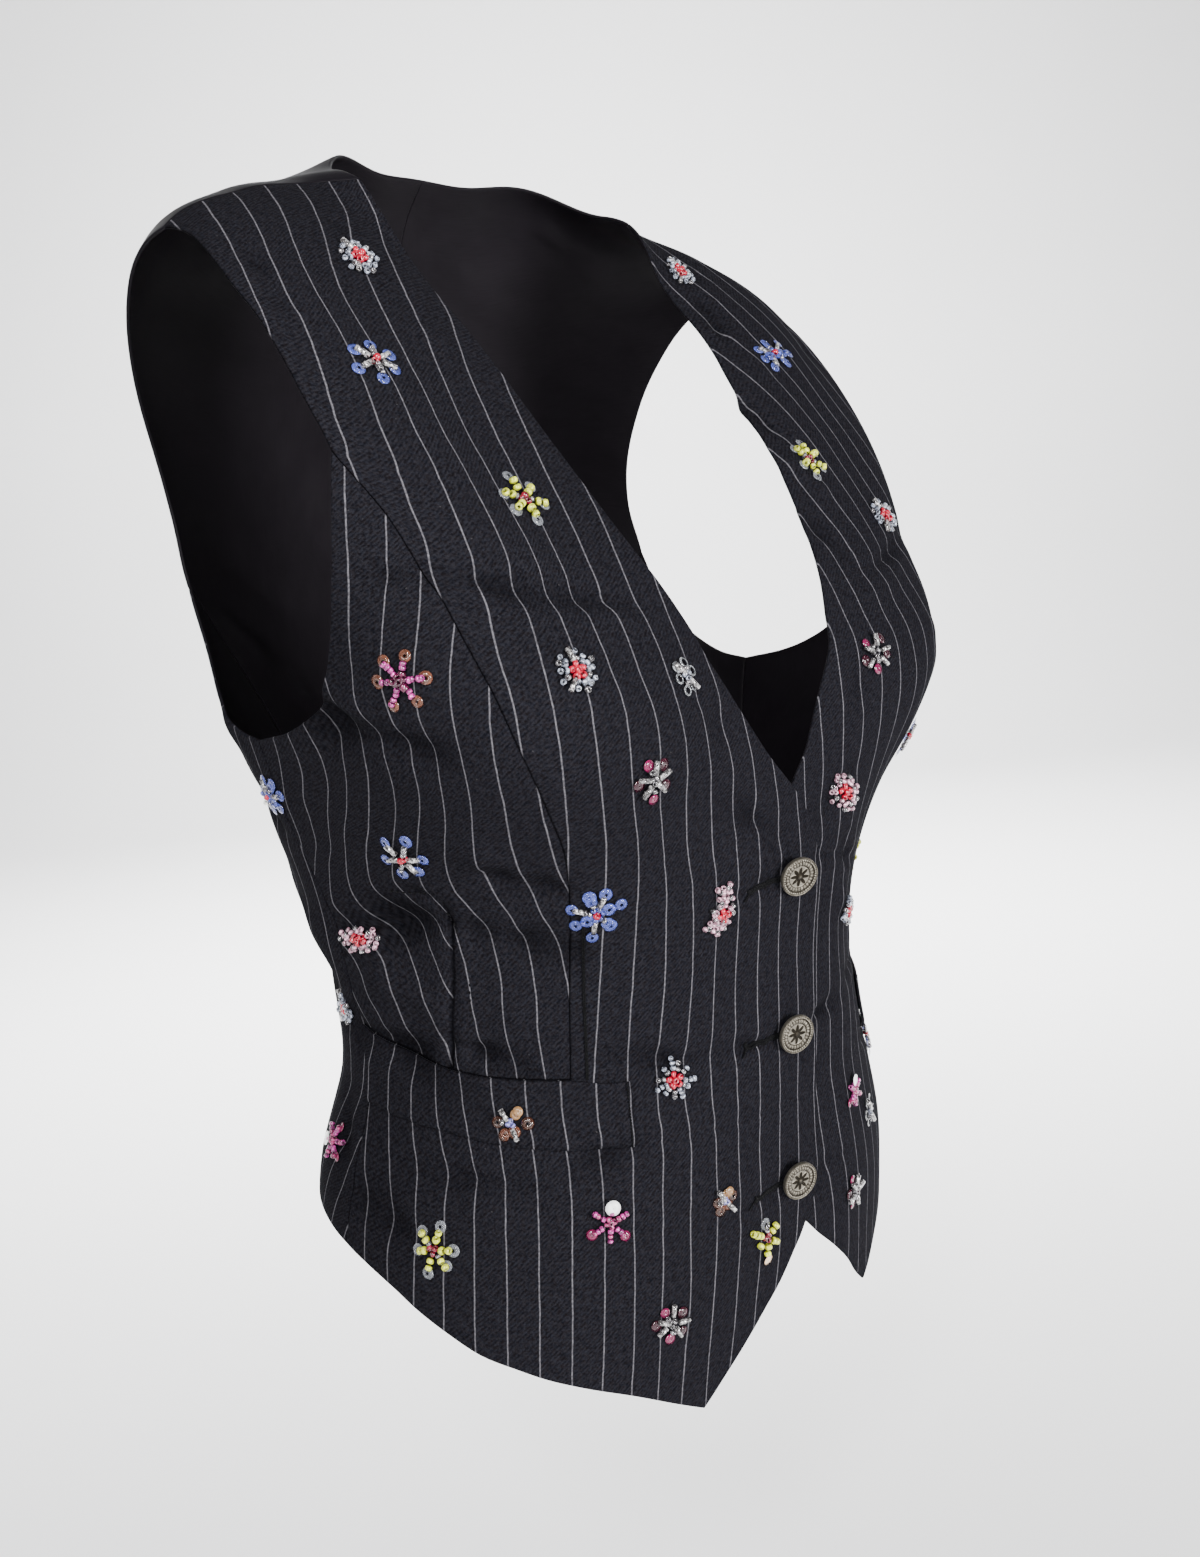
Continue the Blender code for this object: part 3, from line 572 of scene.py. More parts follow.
def pinstripe_twill():
    """Worsted wool twill: steep diagonal lines, heathered charcoal, navy and
    brown yarns, and a dotted chalk-white warp yarn every half inch.  Shade is
    painted into the colour where the cloth turns down into a seam or the dart
    and along fold troughs."""
    material, tree, shader = new_material("worsted_pinstripe_twill")
    flat = add(tree, "ShaderNodeUVMap", {}, uv_map="flat_cut")
    mm = add(tree, "ShaderNodeVectorMath", {0: flat, "Scale": 1 / MM},
             operation="SCALE")
    across = add(tree, "ShaderNodeSeparateXYZ", {0: mm})
    # twill lines rise to the wearer's left; noise breaks them into streaks
    turn = 2 * math.pi / (TWILL_PITCH * math.sqrt(2))
    over, along, phase = (
        add(tree, "ShaderNodeVectorMath", {0: mm, 1: way},
            operation="DOT_PRODUCT")
        for way in ((0.6, 0.6, 0), (0.22, -0.22, 0), (turn, turn, 0)))
    lie = add(tree, "ShaderNodeCombineXYZ", {0: over, 1: along})
    slub, yarn, streak, fuzz, heather, broad = (
        add(tree, "ShaderNodeTexNoise",
            {"Vector": place, "Scale": scale, "Detail": detail,
             "Roughness": rough})
        for place, scale, detail, rough in (
            (mm, 0.12, 1, 0.5), (mm, 0.8, 2, 0.5), (lie, 1, 3, 0.7),
            (mm, 0.9, 3, 0.7), (mm, 0.6, 4, 0.7), (mm, 0.035, 2, 0.5)))
    wander = add(tree, "ShaderNodeMath", {0: slub, 1: 0.5, 2: across},
                 operation="MULTIPLY_ADD")
    away = add(tree, "ShaderNodeMath", {0: wander, 1: STRIPE_PITCH / 2},
               operation="PINGPONG")
    stripe = add(tree, "ShaderNodeMapRange",
                 {"Value": away, 1: 0.5 * STRIPE_WIDTH - 0.12,
                  2: 0.5 * STRIPE_WIDTH + 0.16, 3: 1.0, 4: 0.0},
                 interpolation_type="SMOOTHSTEP")
    dots = add(tree, "ShaderNodeMapRange",
               {"Value": yarn, 1: 0.36, 2: 0.62, 3: 0.45, 4: 0.95})
    chalk = add(tree, "ShaderNodeMath", {0: stripe, 1: dots},
                operation="MULTIPLY")
    wave = add(tree, "ShaderNodeMath",
               {0: add(tree, "ShaderNodeMath", {0: fuzz, 1: 5.0, 2: phase},
                       operation="MULTIPLY_ADD")}, operation="SINE")
    # the height of the cloth's grain, from its waves, streaks and fuzz
    rib = -2.15
    for part, weight in ((streak, 2.3), (fuzz, 3.0), (wave, 0.2)):
        rib = add(tree, "ShaderNodeMath", {0: part, 1: weight, 2: rib},
                  operation="MULTIPLY_ADD")
    relief = 0.0
    for part, weight in ((rib, 0.6), (fuzz, 0.6), (chalk, 0.5)):
        relief = add(tree, "ShaderNodeMath", {0: part, 1: weight, 2: relief},
                     operation="MULTIPLY_ADD")
    heathered = add(tree, "ShaderNodeMapRange",
                    {"Value": heather, 1: 0.42, 2: 0.58})
    worn = add(tree, "ShaderNodeMath", {0: broad, 1: 0.3},
               operation="MULTIPLY")
    lint = add(tree, "ShaderNodeTexVoronoi", {"Vector": mm, "Scale": 0.11})
    speck = add(tree, "ShaderNodeMapRange",
                {"Value": lint, 1: 0.0, 2: 0.045, 3: 0.4, 4: 0.0})
    # painted shade: this attribute takes the colour towards near black in
    # seams, the dart and fold troughs, where shade falls
    painted_shade = add(tree, "ShaderNodeAttribute", {}, attribute_name="painted_shade")
    painted_shade_share = add(tree, "ShaderNodeMath", {0: painted_shade.outputs["Fac"], 1: 0.85},
                 operation="MULTIPLY")
    tint = add(tree, "ShaderNodeMix",
               {0: heathered, 6: linear("#171213"), 7: linear("#0f1119")},
               data_type="RGBA")
    # the last of these mixes is painted shade, near black in seams, the dart
    # and fold troughs
    colour = linear("#050506")
    for share, above in ((rib, linear("#27272c")), (0.4, tint),
                         (worn, linear("#161519")), (speck, linear("#5a5757")),
                         (chalk, linear("#656368")),
                         (painted_shade_share, linear("#020203"))):
        colour = add(tree, "ShaderNodeMix", {0: share, 6: colour, 7: above},
                     data_type="RGBA")
    fill(tree, shader, {
        "Base Color": colour,
        "Roughness": add(tree, "ShaderNodeMapRange",
                         {"Value": heather, 3: 0.84, 4: 0.97}),
        "Normal": add(tree, "ShaderNodeBump",
                      {"Height": relief, "Strength": 0.6,
                       "Distance": 0.25 * MM}),
        "Specular IOR Level": 0.01, "Sheen Weight": 0.002,
        "Sheen Roughness": 0.5})
    return material


def satin(name, dark, light, roughness):
    """Plain satin-faced cloth: fine warp lines and a soft uneven gloss."""
    material, tree, shader = new_material(name)
    flat = add(tree, "ShaderNodeUVMap", {}, uv_map="flat_cut")
    # warp threads are about 0.15 mm; drawn 0.5 mm wide so that they show
    fine = add(tree, "ShaderNodeMapping",
               {"Vector": flat, "Scale": (2000.0, 90.0, 1.0)},
               vector_type="POINT")
    warp = add(tree, "ShaderNodeTexNoise",
               {"Vector": fine, "Scale": 1.0, "Detail": 3.0})
    mm = add(tree, "ShaderNodeVectorMath", {0: flat, "Scale": 1 / MM},
             operation="SCALE")
    cloud = add(tree, "ShaderNodeTexNoise",
                {"Vector": mm, "Scale": 0.05, "Detail": 3.0})
    blend = 0.0
    for part, weight in ((cloud, 0.4), (warp, 0.7)):
        blend = add(tree, "ShaderNodeMath", {0: part, 1: weight, 2: blend},
                    operation="MULTIPLY_ADD")
    fill(tree, shader, {
        "Base Color": add(tree, "ShaderNodeMix",
                          {0: blend, 6: linear(dark), 7: linear(light)},
                          data_type="RGBA"),
        "Roughness": add(tree, "ShaderNodeMapRange",
                         {"Value": cloud, 3: roughness - 0.08,
                          4: roughness + 0.1}),
        "Normal": add(tree, "ShaderNodeBump",
                      {"Height": warp, "Strength": 0.25,
                       "Distance": 0.08 * MM}),
        "Specular IOR Level": 0.06})
    return material


twill = pinstripe_twill()
lining = satin("lining_satin", "#0b090c", "#1a171b", 0.5)


def front_flat(grain, net):
    """Places in the flat cut: across the grain, and down from the waist."""
    solid = np.nan_to_num(net)
    form = form_point(solid[..., 0], solid[..., 1])
    form[np.isnan(net[..., 0])] = np.nan
    length = arc(form, 0)
    waist = np.argmin(np.abs(FRONT_ROWS - WAIST_ROW))
    return np.stack([grain, length[waist] - length], -1)


front_right_net = front_net(CUTAWAY, HEM_FRONT)
# FRONT_GRAIN has a row for each step and a column for every second one
right_grain = grain_of(FRONT_GRAIN, FRONT_ROWS, FRONT_COLUMNS / 2)
front_right_flat = front_flat(right_grain, front_right_net)
FRONT_SIDES = {"top": SEAM, "bottom": FREE_EDGE, "left": FREE_EDGE,
               "right": SEAM}
front_right = cloth_piece("front_right_cloth", front_right_net,
                          front_right_flat, FRONT_SIDES, twill, lining)
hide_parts("front_right")

# a net times (1, -1) lies on the wearer's left
front_left_net = front_net(CUTAWAY_LEFT, HEM_FRONT_LEFT) * (1, -1)
shift_rows = np.array(LEFT_GRAIN_SHIFT)[:, None]
left_grain = -(right_grain + spline(shift_rows, FRONT_ROWS / 4))
front_left_flat = front_flat(left_grain, front_left_net)
front_left = cloth_piece("front_left_cloth", front_left_net, front_left_flat,
                         FRONT_SIDES, twill, lining, sunk=True)
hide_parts("front_left")


# ------------------------------------------------------------ side fronts
# Small panels of the same twill between the princess seam and the side,
# each with one dart that takes the cloth in from the waist to the bust.
ARMHOLE_SIDE = ((4.13, -61.9), (4.43, -62.3), (4.83, -63.1), (5.18, -64.1),
                (5.44, -65.4), (5.74, -68.0), (5.95, -71.0), (6.10, -75.0),
                (6.24, -82.1), (6.31, -91.0))
SIDE_SEAM_HIGH = ((6.31, -91.0), (7.0, -91.6), (8.0, -90.6), (8.7, -91.2),
                  (9.33, -92.3))
# steps down and across the panel, its dart's column and the dart's tip
SIDE_ROWS, SIDE_COLUMNS, DART_COLUMN, DART_TIP = 14, 8, 4, 7.9
# across the grain at each row, left and then right of the dart's line
SIDE_GRAIN_FRONT = (
    (54.8, 55.5, 56.1, 57.0, 61.2), (42.8, 46.1, 49.2, 51.9, 59.3),
    (31.8, 37.1, 41.6, 45.4, 58.6), (20.4, 26.7, 32.8, 41.6, 61.2),
    (9.0, 17.0, 26.3, 41.5, 59.0), (-0.8, 9.4, 22.6, 38.9, 51.3),
    (-8.0, 4.1, 18.1, 30.2, 40.5), (-12.7, -0.0, 10.9, 21.8, 33.2),
    (-15.5, -3.4, 7.8, 19.3, 32.2), (-16.6, -3.9, 8.7, 23.0, 36.3),
    (-12.5, 0.5, 15.1, 28.7, 41.2), (-5.9, 7.4, 20.1, 31.7, 44.1),
    (-0.9, 11.0, 22.2, 34.1, 46.9), (1.0, 12.1, 24.1, 37.5, 50.3),
    (2.2, 15.3, 29.1, 41.7, 53.9))
SIDE_GRAIN_REAR = (
    (61.2, 71.9, 88.4, 107.3, 126.5), (59.3, 74.1, 91.3, 107.1, 123.6),
    (58.6, 77.4, 92.9, 105.3, 120.1), (61.2, 75.4, 90.4, 101.3, 117.5),
    (59.0, 68.7, 83.0, 99.8, 117.5), (51.3, 61.0, 73.0, 95.4, 116.1),
    (40.5, 52.8, 66.5, 84.8, 107.5), (33.2, 46.8, 62.8, 79.3, 97.4),
    (32.2, 50.9, 66.1, 78.8, 92.5), (38.4, 61.3, 75.0, 84.6, 96.2),
    (50.1, 68.6, 83.1, 93.8, 102.7), (58.1, 73.8, 86.8, 98.3, 109.2),
    (65.9, 78.6, 89.0, 100.1, 113.5), (72.5, 81.8, 91.9, 105.2, 117.2),
    (76.4, 85.8, 95.5, 106.8, 119.2))

side_rows = places(SIDE_ROWS, 13, 0.03)
side_columns = places(SIDE_COLUMNS, 9, 0.03, DART_COLUMN)
side_net = patch(run(ARMHOLE_SIDE, side_columns / SIDE_COLUMNS),
                 run(WAIST_SIDE, side_columns / SIDE_COLUMNS),
                 run(PRINCESS, side_rows / SIDE_ROWS),
                 run(SIDE_SEAM_HIGH, side_rows / SIDE_ROWS),
                 side_rows / SIDE_ROWS, side_columns / SIDE_COLUMNS)
side_form = form_point(side_net[..., 0], side_net[..., 1])
side_length = up_from(side_form)
grain_front = grain_of(SIDE_GRAIN_FRONT, side_rows, side_columns)
grain_rear = grain_of(SIDE_GRAIN_REAR, side_rows,
                      np.maximum(side_columns - DART_COLUMN, 0))
dart_line = int(np.argmin(np.abs(side_columns - DART_COLUMN)))
dart_gap = arc(side_form, 1)
dart_gap = np.abs(dart_gap - dart_gap[:, [dart_line]])
# the dart sinks in along its line, and the cloth swells a little beside it
dart_deep = np.clip((side_rows - DART_TIP) / 1.2, 0, 1)[:, None]
dart = dart_deep * (0.62 * np.exp(-(dart_gap / 1.15) ** 2)
                    - 0.6 * np.exp(-((dart_gap - 5.0) / 3.0) ** 2))
SIDE_SIDES = {"top": FREE_EDGE, "bottom": SEAM, "left": SEAM, "right": SEAM}
for side, sign in (("right", 1), ("left", -1)):
    # the stripes of the left panel lie 5 mm further along
    shift = 0.0 if sign > 0 else 5.0
    side_front = cloth_piece(
        "side_front_%s_cloth" % side, side_net * (1, sign),
        np.stack([sign * (grain_front + shift), side_length], -1),
        SIDE_SIDES, twill, lining, pleat=dart,
        flat_right=np.stack([sign * (grain_rear + shift), side_length], -1),
        split=dart_line)
    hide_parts("side_front_" + side)


# -------------------------------------------------------------- side backs
# The pinstripe runs on past the side seam in one long panel each side,
# from the bottom of the armhole to the hem.
ARMHOLE_UNDER = ((6.31, -91.0), (6.22, -97.5), (5.99, -104.0),
                 (5.66, -109.5), (5.24, -113.0))
SIDE_BACK_SEAM = ((5.24, -113.0), (5.8, -118.5), (6.5, -124.5),
                  (7.5, -131.0), (8.6, -135.5), (9.6, -137.5),
                  (10.6, -138.0), (11.38, -138.0))
HEM_SIDE_REAR = ((11.57, -93.6), (11.43, -107.0), (11.39, -120.0),
                 (11.38, -138.0))
# across the grain, every third row and second column
SIDE_BACK_GRAIN = (
    (-33, -10, 10, 27, 40), (-35, -11, 11, 31, 47), (-40, -14, 10, 33, 53),
    (-46, -18, 8, 32, 54), (-49, -21, 5, 29, 51), (-54, -28, -2, 22, 45),
    (-67, -40, -13, 13, 38), (-79, -52, -24, 3, 31))

# steps down and across the panel
REAR_ROWS, REAR_COLUMNS = 21, 8

rear_rows = places(REAR_ROWS, 6, 0.03)
rear_columns = places(REAR_COLUMNS, 5, 0.03)
rear_net = patch(run(ARMHOLE_UNDER, rear_columns / REAR_COLUMNS),
                 run(HEM_SIDE_REAR, rear_columns / REAR_COLUMNS),
                 chain(((SIDE_SEAM_HIGH, SIDE_ROWS),
                        (SIDE_SEAM_WELT, WELT_ROW - WAIST_ROW),
                        (SIDE_SEAM_LOW, HEM_ROW - WELT_ROW)), rear_rows),
                 run(SIDE_BACK_SEAM, rear_rows / REAR_ROWS),
                 rear_rows / REAR_ROWS, rear_columns / REAR_COLUMNS)
rear_length = up_from(form_point(rear_net[..., 0], rear_net[..., 1]))
rear_grain = grain_of(SIDE_BACK_GRAIN, rear_rows / 3, rear_columns / 2)
REAR_SIDES = {"top": FREE_EDGE, "bottom": FREE_EDGE, "left": SEAM,
              "right": SEAM}
for side, sign in (("right", 1), ("left", -1)):
    side_back = cloth_piece(
        "side_back_%s_cloth" % side, rear_net * (1, sign),
        np.stack([sign * rear_grain, rear_length], -1), REAR_SIDES, twill,
        lining)
    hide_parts("side_back_" + side)


# -------------------------------------------------------------------- back
# The back is a plain black satin-faced cloth, thinner than the twill, in two
# halves with a centre seam.  It reaches over to the shoulder seams.
ARMHOLE_BACK = ((3.03, -88.6), (3.14, -95.0), (3.37, -102.5),
                (3.76, -109.5), (4.26, -114.0), (4.74, -115.0),
                (5.24, -113.0))
BACK_NECK = ((0.42, -77.1), (0.14, -103.0), (0.03, -125.0), (0.0, -150.0),
             (0.0, -180.0))
CENTRE_BACK = ((0.0, -180.0), (3.0, -180.0), (7.0, -180.0), (11.3, -180.0))
HEM_BACK = ((11.3, -180.0), (11.32, -160.0), (11.38, -138.0))

BACK_COLUMNS = 10

back_satin = satin("black_back_satin", "#09080a", "#18151a", 0.44)
back_rows = places(HEM_ROW, 6, 0.03)
back_columns = places(BACK_COLUMNS, 6, 0.03)
back_net = patch(run(SHOULDER, back_columns / BACK_COLUMNS),
                 run(HEM_BACK, back_columns / BACK_COLUMNS),
                 chain(((BACK_NECK, PRINCESS_ROW), (CENTRE_BACK, REAR_ROWS)),
                       back_rows),
                 chain(((ARMHOLE_BACK, PRINCESS_ROW),
                        (SIDE_BACK_SEAM, REAR_ROWS)), back_rows),
                 back_rows / HEM_ROW, back_columns / BACK_COLUMNS)
back_form = form_point(back_net[..., 0], back_net[..., 1])
back_flat = np.stack([arc(back_form, 1), -arc(back_form, 0)], -1)
BACK_SIDES = {"top": SEAM, "bottom": FREE_EDGE, "left": SEAM, "right": SEAM}
for side, sign in (("right", 1), ("left", -1)):
    back = cloth_piece("back_%s_cloth" % side, back_net * (1, sign),
                       back_flat * (sign, 1), BACK_SIDES, back_satin, lining)
    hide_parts("back_" + side)


# ------------------------------------------------------------------- welts
# A folded band of the twill lies over the waist seam on each front, stitched
# down along its edges and left as a shallow step.
WELT_WALL, LAY_GAP = 1.4, 0.3
welt_rows = (FRONT_ROWS >= WAIST_ROW) & (FRONT_ROWS <= WELT_ROW)
welt_columns = FRONT_COLUMNS >= LAP_COLUMN
for side, net, flat in (("right", front_right_net, front_right_flat),
                        ("left", front_left_net, front_left_flat)):
    part = net[welt_rows][:, welt_columns]
    # cut a little off the front, so that its stripes don't quite meet
    laid = flat[welt_rows][:, welt_columns] + (0.8, 0.4)
    welt = cloth_piece("welt_%s_cloth" % side, part, laid,
                       {"top": 0.7, "bottom": 0.7, "left": 0.7, "right": SEAM},
                       twill, lining, top=LAY_GAP + WELT_WALL,
                       thick=WELT_WALL)
    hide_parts("welt_" + side)


# ---------------------------------------------------------------- stitches
# Black silk thread: worked bars round the keyhole buttonholes, a line of
# dashes beside each princess seam, and the ends of the welts and darts.

# buttonhole twist is about 0.4 mm thick; drawn at 0.74 mm so that it shows
THREAD_RADIUS = 0.37


def ways(ring, angle):
    """Point on the form, mm, and the ways out of it, across it and up."""
    ring, angle = np.array([ring]), np.array([angle])
    out = form_normal(ring, angle)[0]
    side = np.cross([0.0, 0.0, 1.0], out)
    side /= np.linalg.norm(side)
    return form_point(ring, angle)[0], out, side, np.cross(out, side)


def on_cloth(ring, angle, lift):
    """Point above the outer face of the cloth, mm, and its three ways."""
    point, *three = ways(ring, angle)
    height = fold_height(point) + lift
    if angle > 8:               # past the front edge, so on the left front
        height = height - sink_of(point)
    return point + three[0] * height, three


def beside(ring, angle, across, up):
    """(ring, angle) that lies across and up, mm, from a place on the form."""
    step = 0.05
    here, _, side, upward = ways(ring, angle)
    down = (form_point(np.array([ring + step]), np.array([angle]))[0]
            - here) / step
    round_ = form_point(np.array([ring]), np.array([angle + 1.0]))[0] - here
    parts, *_ = np.linalg.lstsq(np.stack([down, round_], 1),
                                across * side + up * upward, rcond=None)
    return ring + parts[0], angle + parts[1]


def new_tree(name, inputs):
    """Geometry Nodes tree that takes points, some inputs and a material."""
    tree = bpy.data.node_groups.new(name, "GeometryNodeTree")
    for label, kind in (("Points", "Geometry"), *inputs,
                        ("Material", "Material")):
        tree.interface.new_socket(label, in_out="INPUT",
                                  socket_type="NodeSocket" + kind)
    tree.interface.new_socket("Pieces", in_out="OUTPUT",
                              socket_type="NodeSocketGeometry")
    return tree, add(tree, "NodeGroupInput", {}).outputs


def planted(tree, given, shape, size):
    """The tree's end: one shape on each point, turned along its axis."""
    axis = add(tree, "GeometryNodeInputNamedAttribute", {"Name": "axis"},
               data_type="FLOAT_VECTOR")
    aim = add(tree, "FunctionNodeAlignRotationToVector", {"Vector": axis},
              axis="Z")
    laid = add(tree, "GeometryNodeInstanceOnPoints",
               {"Points": given["Points"], "Instance": shape,
                "Rotation": aim, "Scale": size})
    real = add(tree, "GeometryNodeRealizeInstances", {0: laid})
    painted = add(tree, "GeometryNodeSetMaterial",
                  {"Geometry": real, "Material": given["Material"]})
    add(tree, "NodeGroupOutput", {0: painted})
    return tree


def thread_tree():
    """Geometry Nodes: one thread bar on each point, along its axis."""
    tree, given = new_tree("thread_bars", [("Thread radius", "Float")])
    ball = add(tree, "GeometryNodeMeshUVSphere",
               {"Segments": 7, "Rings": 6, "Radius": 1.0})
    half = add(tree, "GeometryNodeInputNamedAttribute", {"Name": "half"},
               data_type="FLOAT")
    size = add(tree, "ShaderNodeCombineXYZ",
               {0: given["Thread radius"], 1: given["Thread radius"],
                2: half})
    return planted(tree, given, ball, size)


def face_out(mesh):
    """Turn every face of a closed mesh outward and shade it smooth."""
    shape = bmesh.new()
    shape.from_mesh(mesh)
    bmesh.ops.recalc_face_normals(shape, faces=shape.faces)
    shape.to_mesh(mesh)
    shape.free()
    mesh.shade_smooth()


def grown(name, points, fields, tree, values):
    """Plain mesh grown by a tree on points; fields are their attributes."""
    mesh = bpy.data.meshes.new(name)
    mesh.from_pydata([tuple(p) for p in points], [], [])
    for field, numbers in fields.items():
        keep(mesh, field, numbers)
    piece = linked(name, mesh)
    modifier = piece.modifiers.new(name, "NODES")
    modifier.node_group = tree
    for item in tree.interface.items_tree:
        if item.name in values:
            modifier[item.identifier] = values[item.name]
    ready = piece.evaluated_get(bpy.context.evaluated_depsgraph_get())
    plain = bpy.data.meshes.new_from_object(ready)
    piece.modifiers.clear()
    piece.data = plain
    face_out(plain)
    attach(piece, "root")


def silk_thread():
    """Twisted black silk: a slight gloss and the ply's slanting lines."""
    material, tree, shader = new_material("black_silk_thread")
    where = add(tree, "ShaderNodeTexCoord", {}).outputs["Object"]
    # the ply is 0.2 mm; drawn at 0.4 mm
    ply = add(tree, "ShaderNodeTexWave",
              {"Vector": where, "Scale": 2500.0 / 6.3, "Distortion": 2.0},
              bands_direction="DIAGONAL").outputs["Fac"]
    fill(tree, shader, {
        "Base Color": add(tree, "ShaderNodeMix",
                          {0: ply, 6: linear("#020203"),
                           7: linear("#070709")}, data_type="RGBA"),
        "Roughness": add(tree, "ShaderNodeMapRange",
                         {"Value": ply, 3: 0.65, 4: 0.85}),
        "Specular IOR Level": 0.12})
    return material


# a button: ring and angle of its shank, degrees it hangs over to the
# wearer's right, and degrees it nods down
BUTTON_SEATS = ((8.12, -2.5, 17.0, 10.0), (9.82, -2.7, 12.0, 6.5),
                (11.46, -2.1, 14.0, 8.0))
stitch_at, stitch_axis, stitch_half = [], [], []


def stitch(place, towards, half, lift):
    """One bar centred at a place and pointing towards another, mm."""
    middle, (normal, *_) = on_cloth(*place, lift)
    along = on_cloth(*towards, lift)[0] - middle
    along -= normal * (along @ normal)
    stitch_at.append(middle * MM)
    stitch_axis.append(along / np.linalg.norm(along))
    stitch_half.append(half * MM)


def on_both_sides(pairs, half, lift):
    """A row of bars on the wearer's right, then the same on the left."""
    for side in (1, -1):
        for place, towards in pairs:
            stitch((place[0], side * place[1]),
                   (towards[0], side * towards[1]), half, lift)


# buttonholes: the slope of each, then in mm from the middle of its button
# where the bars begin, how far apart they are and where the far end lies
HOLE_SLOPES = (-0.13, -0.05, -0.08)
HOLE_START, BAR_STEP, HOLE_END = 1.5, 0.6, 22.9
SIDE_BARS, END_BARS = 36, 9     # how many on each side and across the end
random = np.random.default_rng(7)
for number, (ring, angle, _, _) in enumerate(BUTTON_SEATS):
    slope = HOLE_SLOPES[number]
    for k in range(SIDE_BARS):
        away = HOLE_START + k * BAR_STEP
        sag = slope * away + 0.25 * math.sin(0.5 * k + number)
        for upward in (0.55, -0.55):
            wobble = random.normal(0, 0.1)
            here = beside(ring, angle, -away, upward + sag + wobble)
            there = beside(ring, angle, -away - 0.3 + random.normal(0, 0.2),
                           4 * upward + sag)
            stitch(here, there, 0.72 + random.normal(0, 0.1), 0.36)
    # bars across the far end, and two loose ends of thread beyond it
    for k in range(END_BARS):
        here = beside(ring, angle, -HOLE_END + random.normal(0, 0.35),
                      HOLE_END * slope + random.normal(0, 0.6) + 0.2)
        there = beside(ring, angle, -30.0,
                       HOLE_END * slope + random.normal(0, 12))
        stitch(here, there, 1.15, 0.6)
    for k, (swing, length) in enumerate(((1.9, 4), (2.6, 3))):
        for step in range(length):
            out = HOLE_END + 0.5 + 0.9 * step
            here = beside(ring, angle, -out, slope * out
                          - swing * (0.3 + 0.35 * step) + 0.6 * k)
            there = beside(ring, angle, -out - 1.0, slope * out
                           - swing * (0.65 + 0.35 * step) + 0.6 * k)
            stitch(here, there, 0.75, 0.45)
# two rows of dashes before each princess seam, over the last few steps
# above the waist
dashes = []
for t in np.arange(44) / 43.0:
    row = 18.6 + (WAIST_ROW - 0.02 - 18.6) * t
    ring, angle = chain(ABOVE_WAIST, np.array([row]))[0]
    for aside in (0.0, 0.55):
        here = beside(ring, angle, 4.6 + 1.8 * t + aside, 0.0)
        dashes.append((here, beside(*here, -0.1, -2.0)))
on_both_sides(dashes, 1.1, 0.3)
# the end of each welt, stitched down 1.3 mm inside its edge
upper, lower = (run(table, np.array([1.0]))[0]
                for table in (WAIST_LAP, LOWER_LAP))
dashes = []
for t in (np.arange(22) + 0.5) / 22:
    here = beside(*((1 - t) * upper + t * lower), -1.3, 0.0)
    dashes.append((here, beside(*here, 0.0, -2.0)))
on_both_sides(dashes, 0.5, LAY_GAP + WELT_WALL + 0.02)
# a short bar over the top of each dart and a curved row beside it
dashes = []
for *bends, count in (((7.77, -73.4), (7.79, -69.8), (7.8, -66.3), 8),
                      ((8.03, -64.6), (8.51, -63.4), (9.24, -65.6), 18)):
    shares = np.linspace(0, 1, count)
    way = np.stack([np.interp(shares, (0, 0.45, 1), ends)
                    for ends in zip(*bends)], -1)
    dashes += zip(way[:-1], way[1:])
on_both_sides(dashes, 0.75, 0.2)
grown("silk_stitches", stitch_at, {"axis": stitch_axis, "half": stitch_half},
      thread_tree(),
      {"Thread radius": THREAD_RADIUS * MM, "Material": silk_thread()})


# ----------------------------------------------------------------- buttons
# Cast metal shank buttons, plated silver and darkened: a plain rim, two
# rings of small beads and a dark eight-petalled rosette in a paler dish.
BUTTON_THICK, BUTTON_LIFT, SHANK_RADIUS = 2.2, 3.1, 1.3
PETALS, RIM_BEADS, INNER_BEADS = 8, 44, 26
# radii of the dish and of the two rings of beads round it, mm; the rim is
# what lies outside them
DISH_RADIUS, RING_RADIUS, RIM_RADIUS, BUTTON_RADIUS = 4.7, 6.9, 7.9, 8.4


def button_face(radius, turn):
    """Height of the face above the button's back, mm, and how bright it is:
    0 dark in the hollows and on the rosette, 1 rubbed bright."""
    if radius > RIM_RADIUS:
        swell = math.sin(math.pi * (radius - RIM_RADIUS))
        return BUTTON_THICK + 0.1 + 0.2 * swell, 0.42
    if radius > RING_RADIUS:
        bead = abs(math.cos(0.5 * RIM_BEADS * turn))
        swell = math.sin(math.pi * (radius - RING_RADIUS)) * bead ** 0.7
        return BUTTON_THICK - 0.25 + 0.5 * swell, 0.12 + 0.75 * swell
    if radius > DISH_RADIUS:
        share = (radius - DISH_RADIUS) / (RING_RADIUS - DISH_RADIUS)
        bead = abs(math.cos(0.5 * INNER_BEADS * turn)) ** 0.6
        swell = math.sin(math.pi * share) * bead
        return BUTTON_THICK - 0.5 + 0.45 * swell, 0.16 + 0.42 * swell
    dish = BUTTON_THICK - 0.75 + 0.12 * (radius / DISH_RADIUS) ** 2
    lobe = math.cos(0.5 * PETALS * turn) ** 2
    reach = 1.7 + 2.9 * lobe ** 0.7
    petal = max(0.0, min(1.0, (reach - radius) * 2.5))
    boss = max(0.0, 1 - (radius / 1.3) ** 2)
    height = dish + 0.45 * petal + 0.4 * boss
    return height, 0.72 * (1 - petal) + 0.1 * petal * lobe + 0.25 * boss


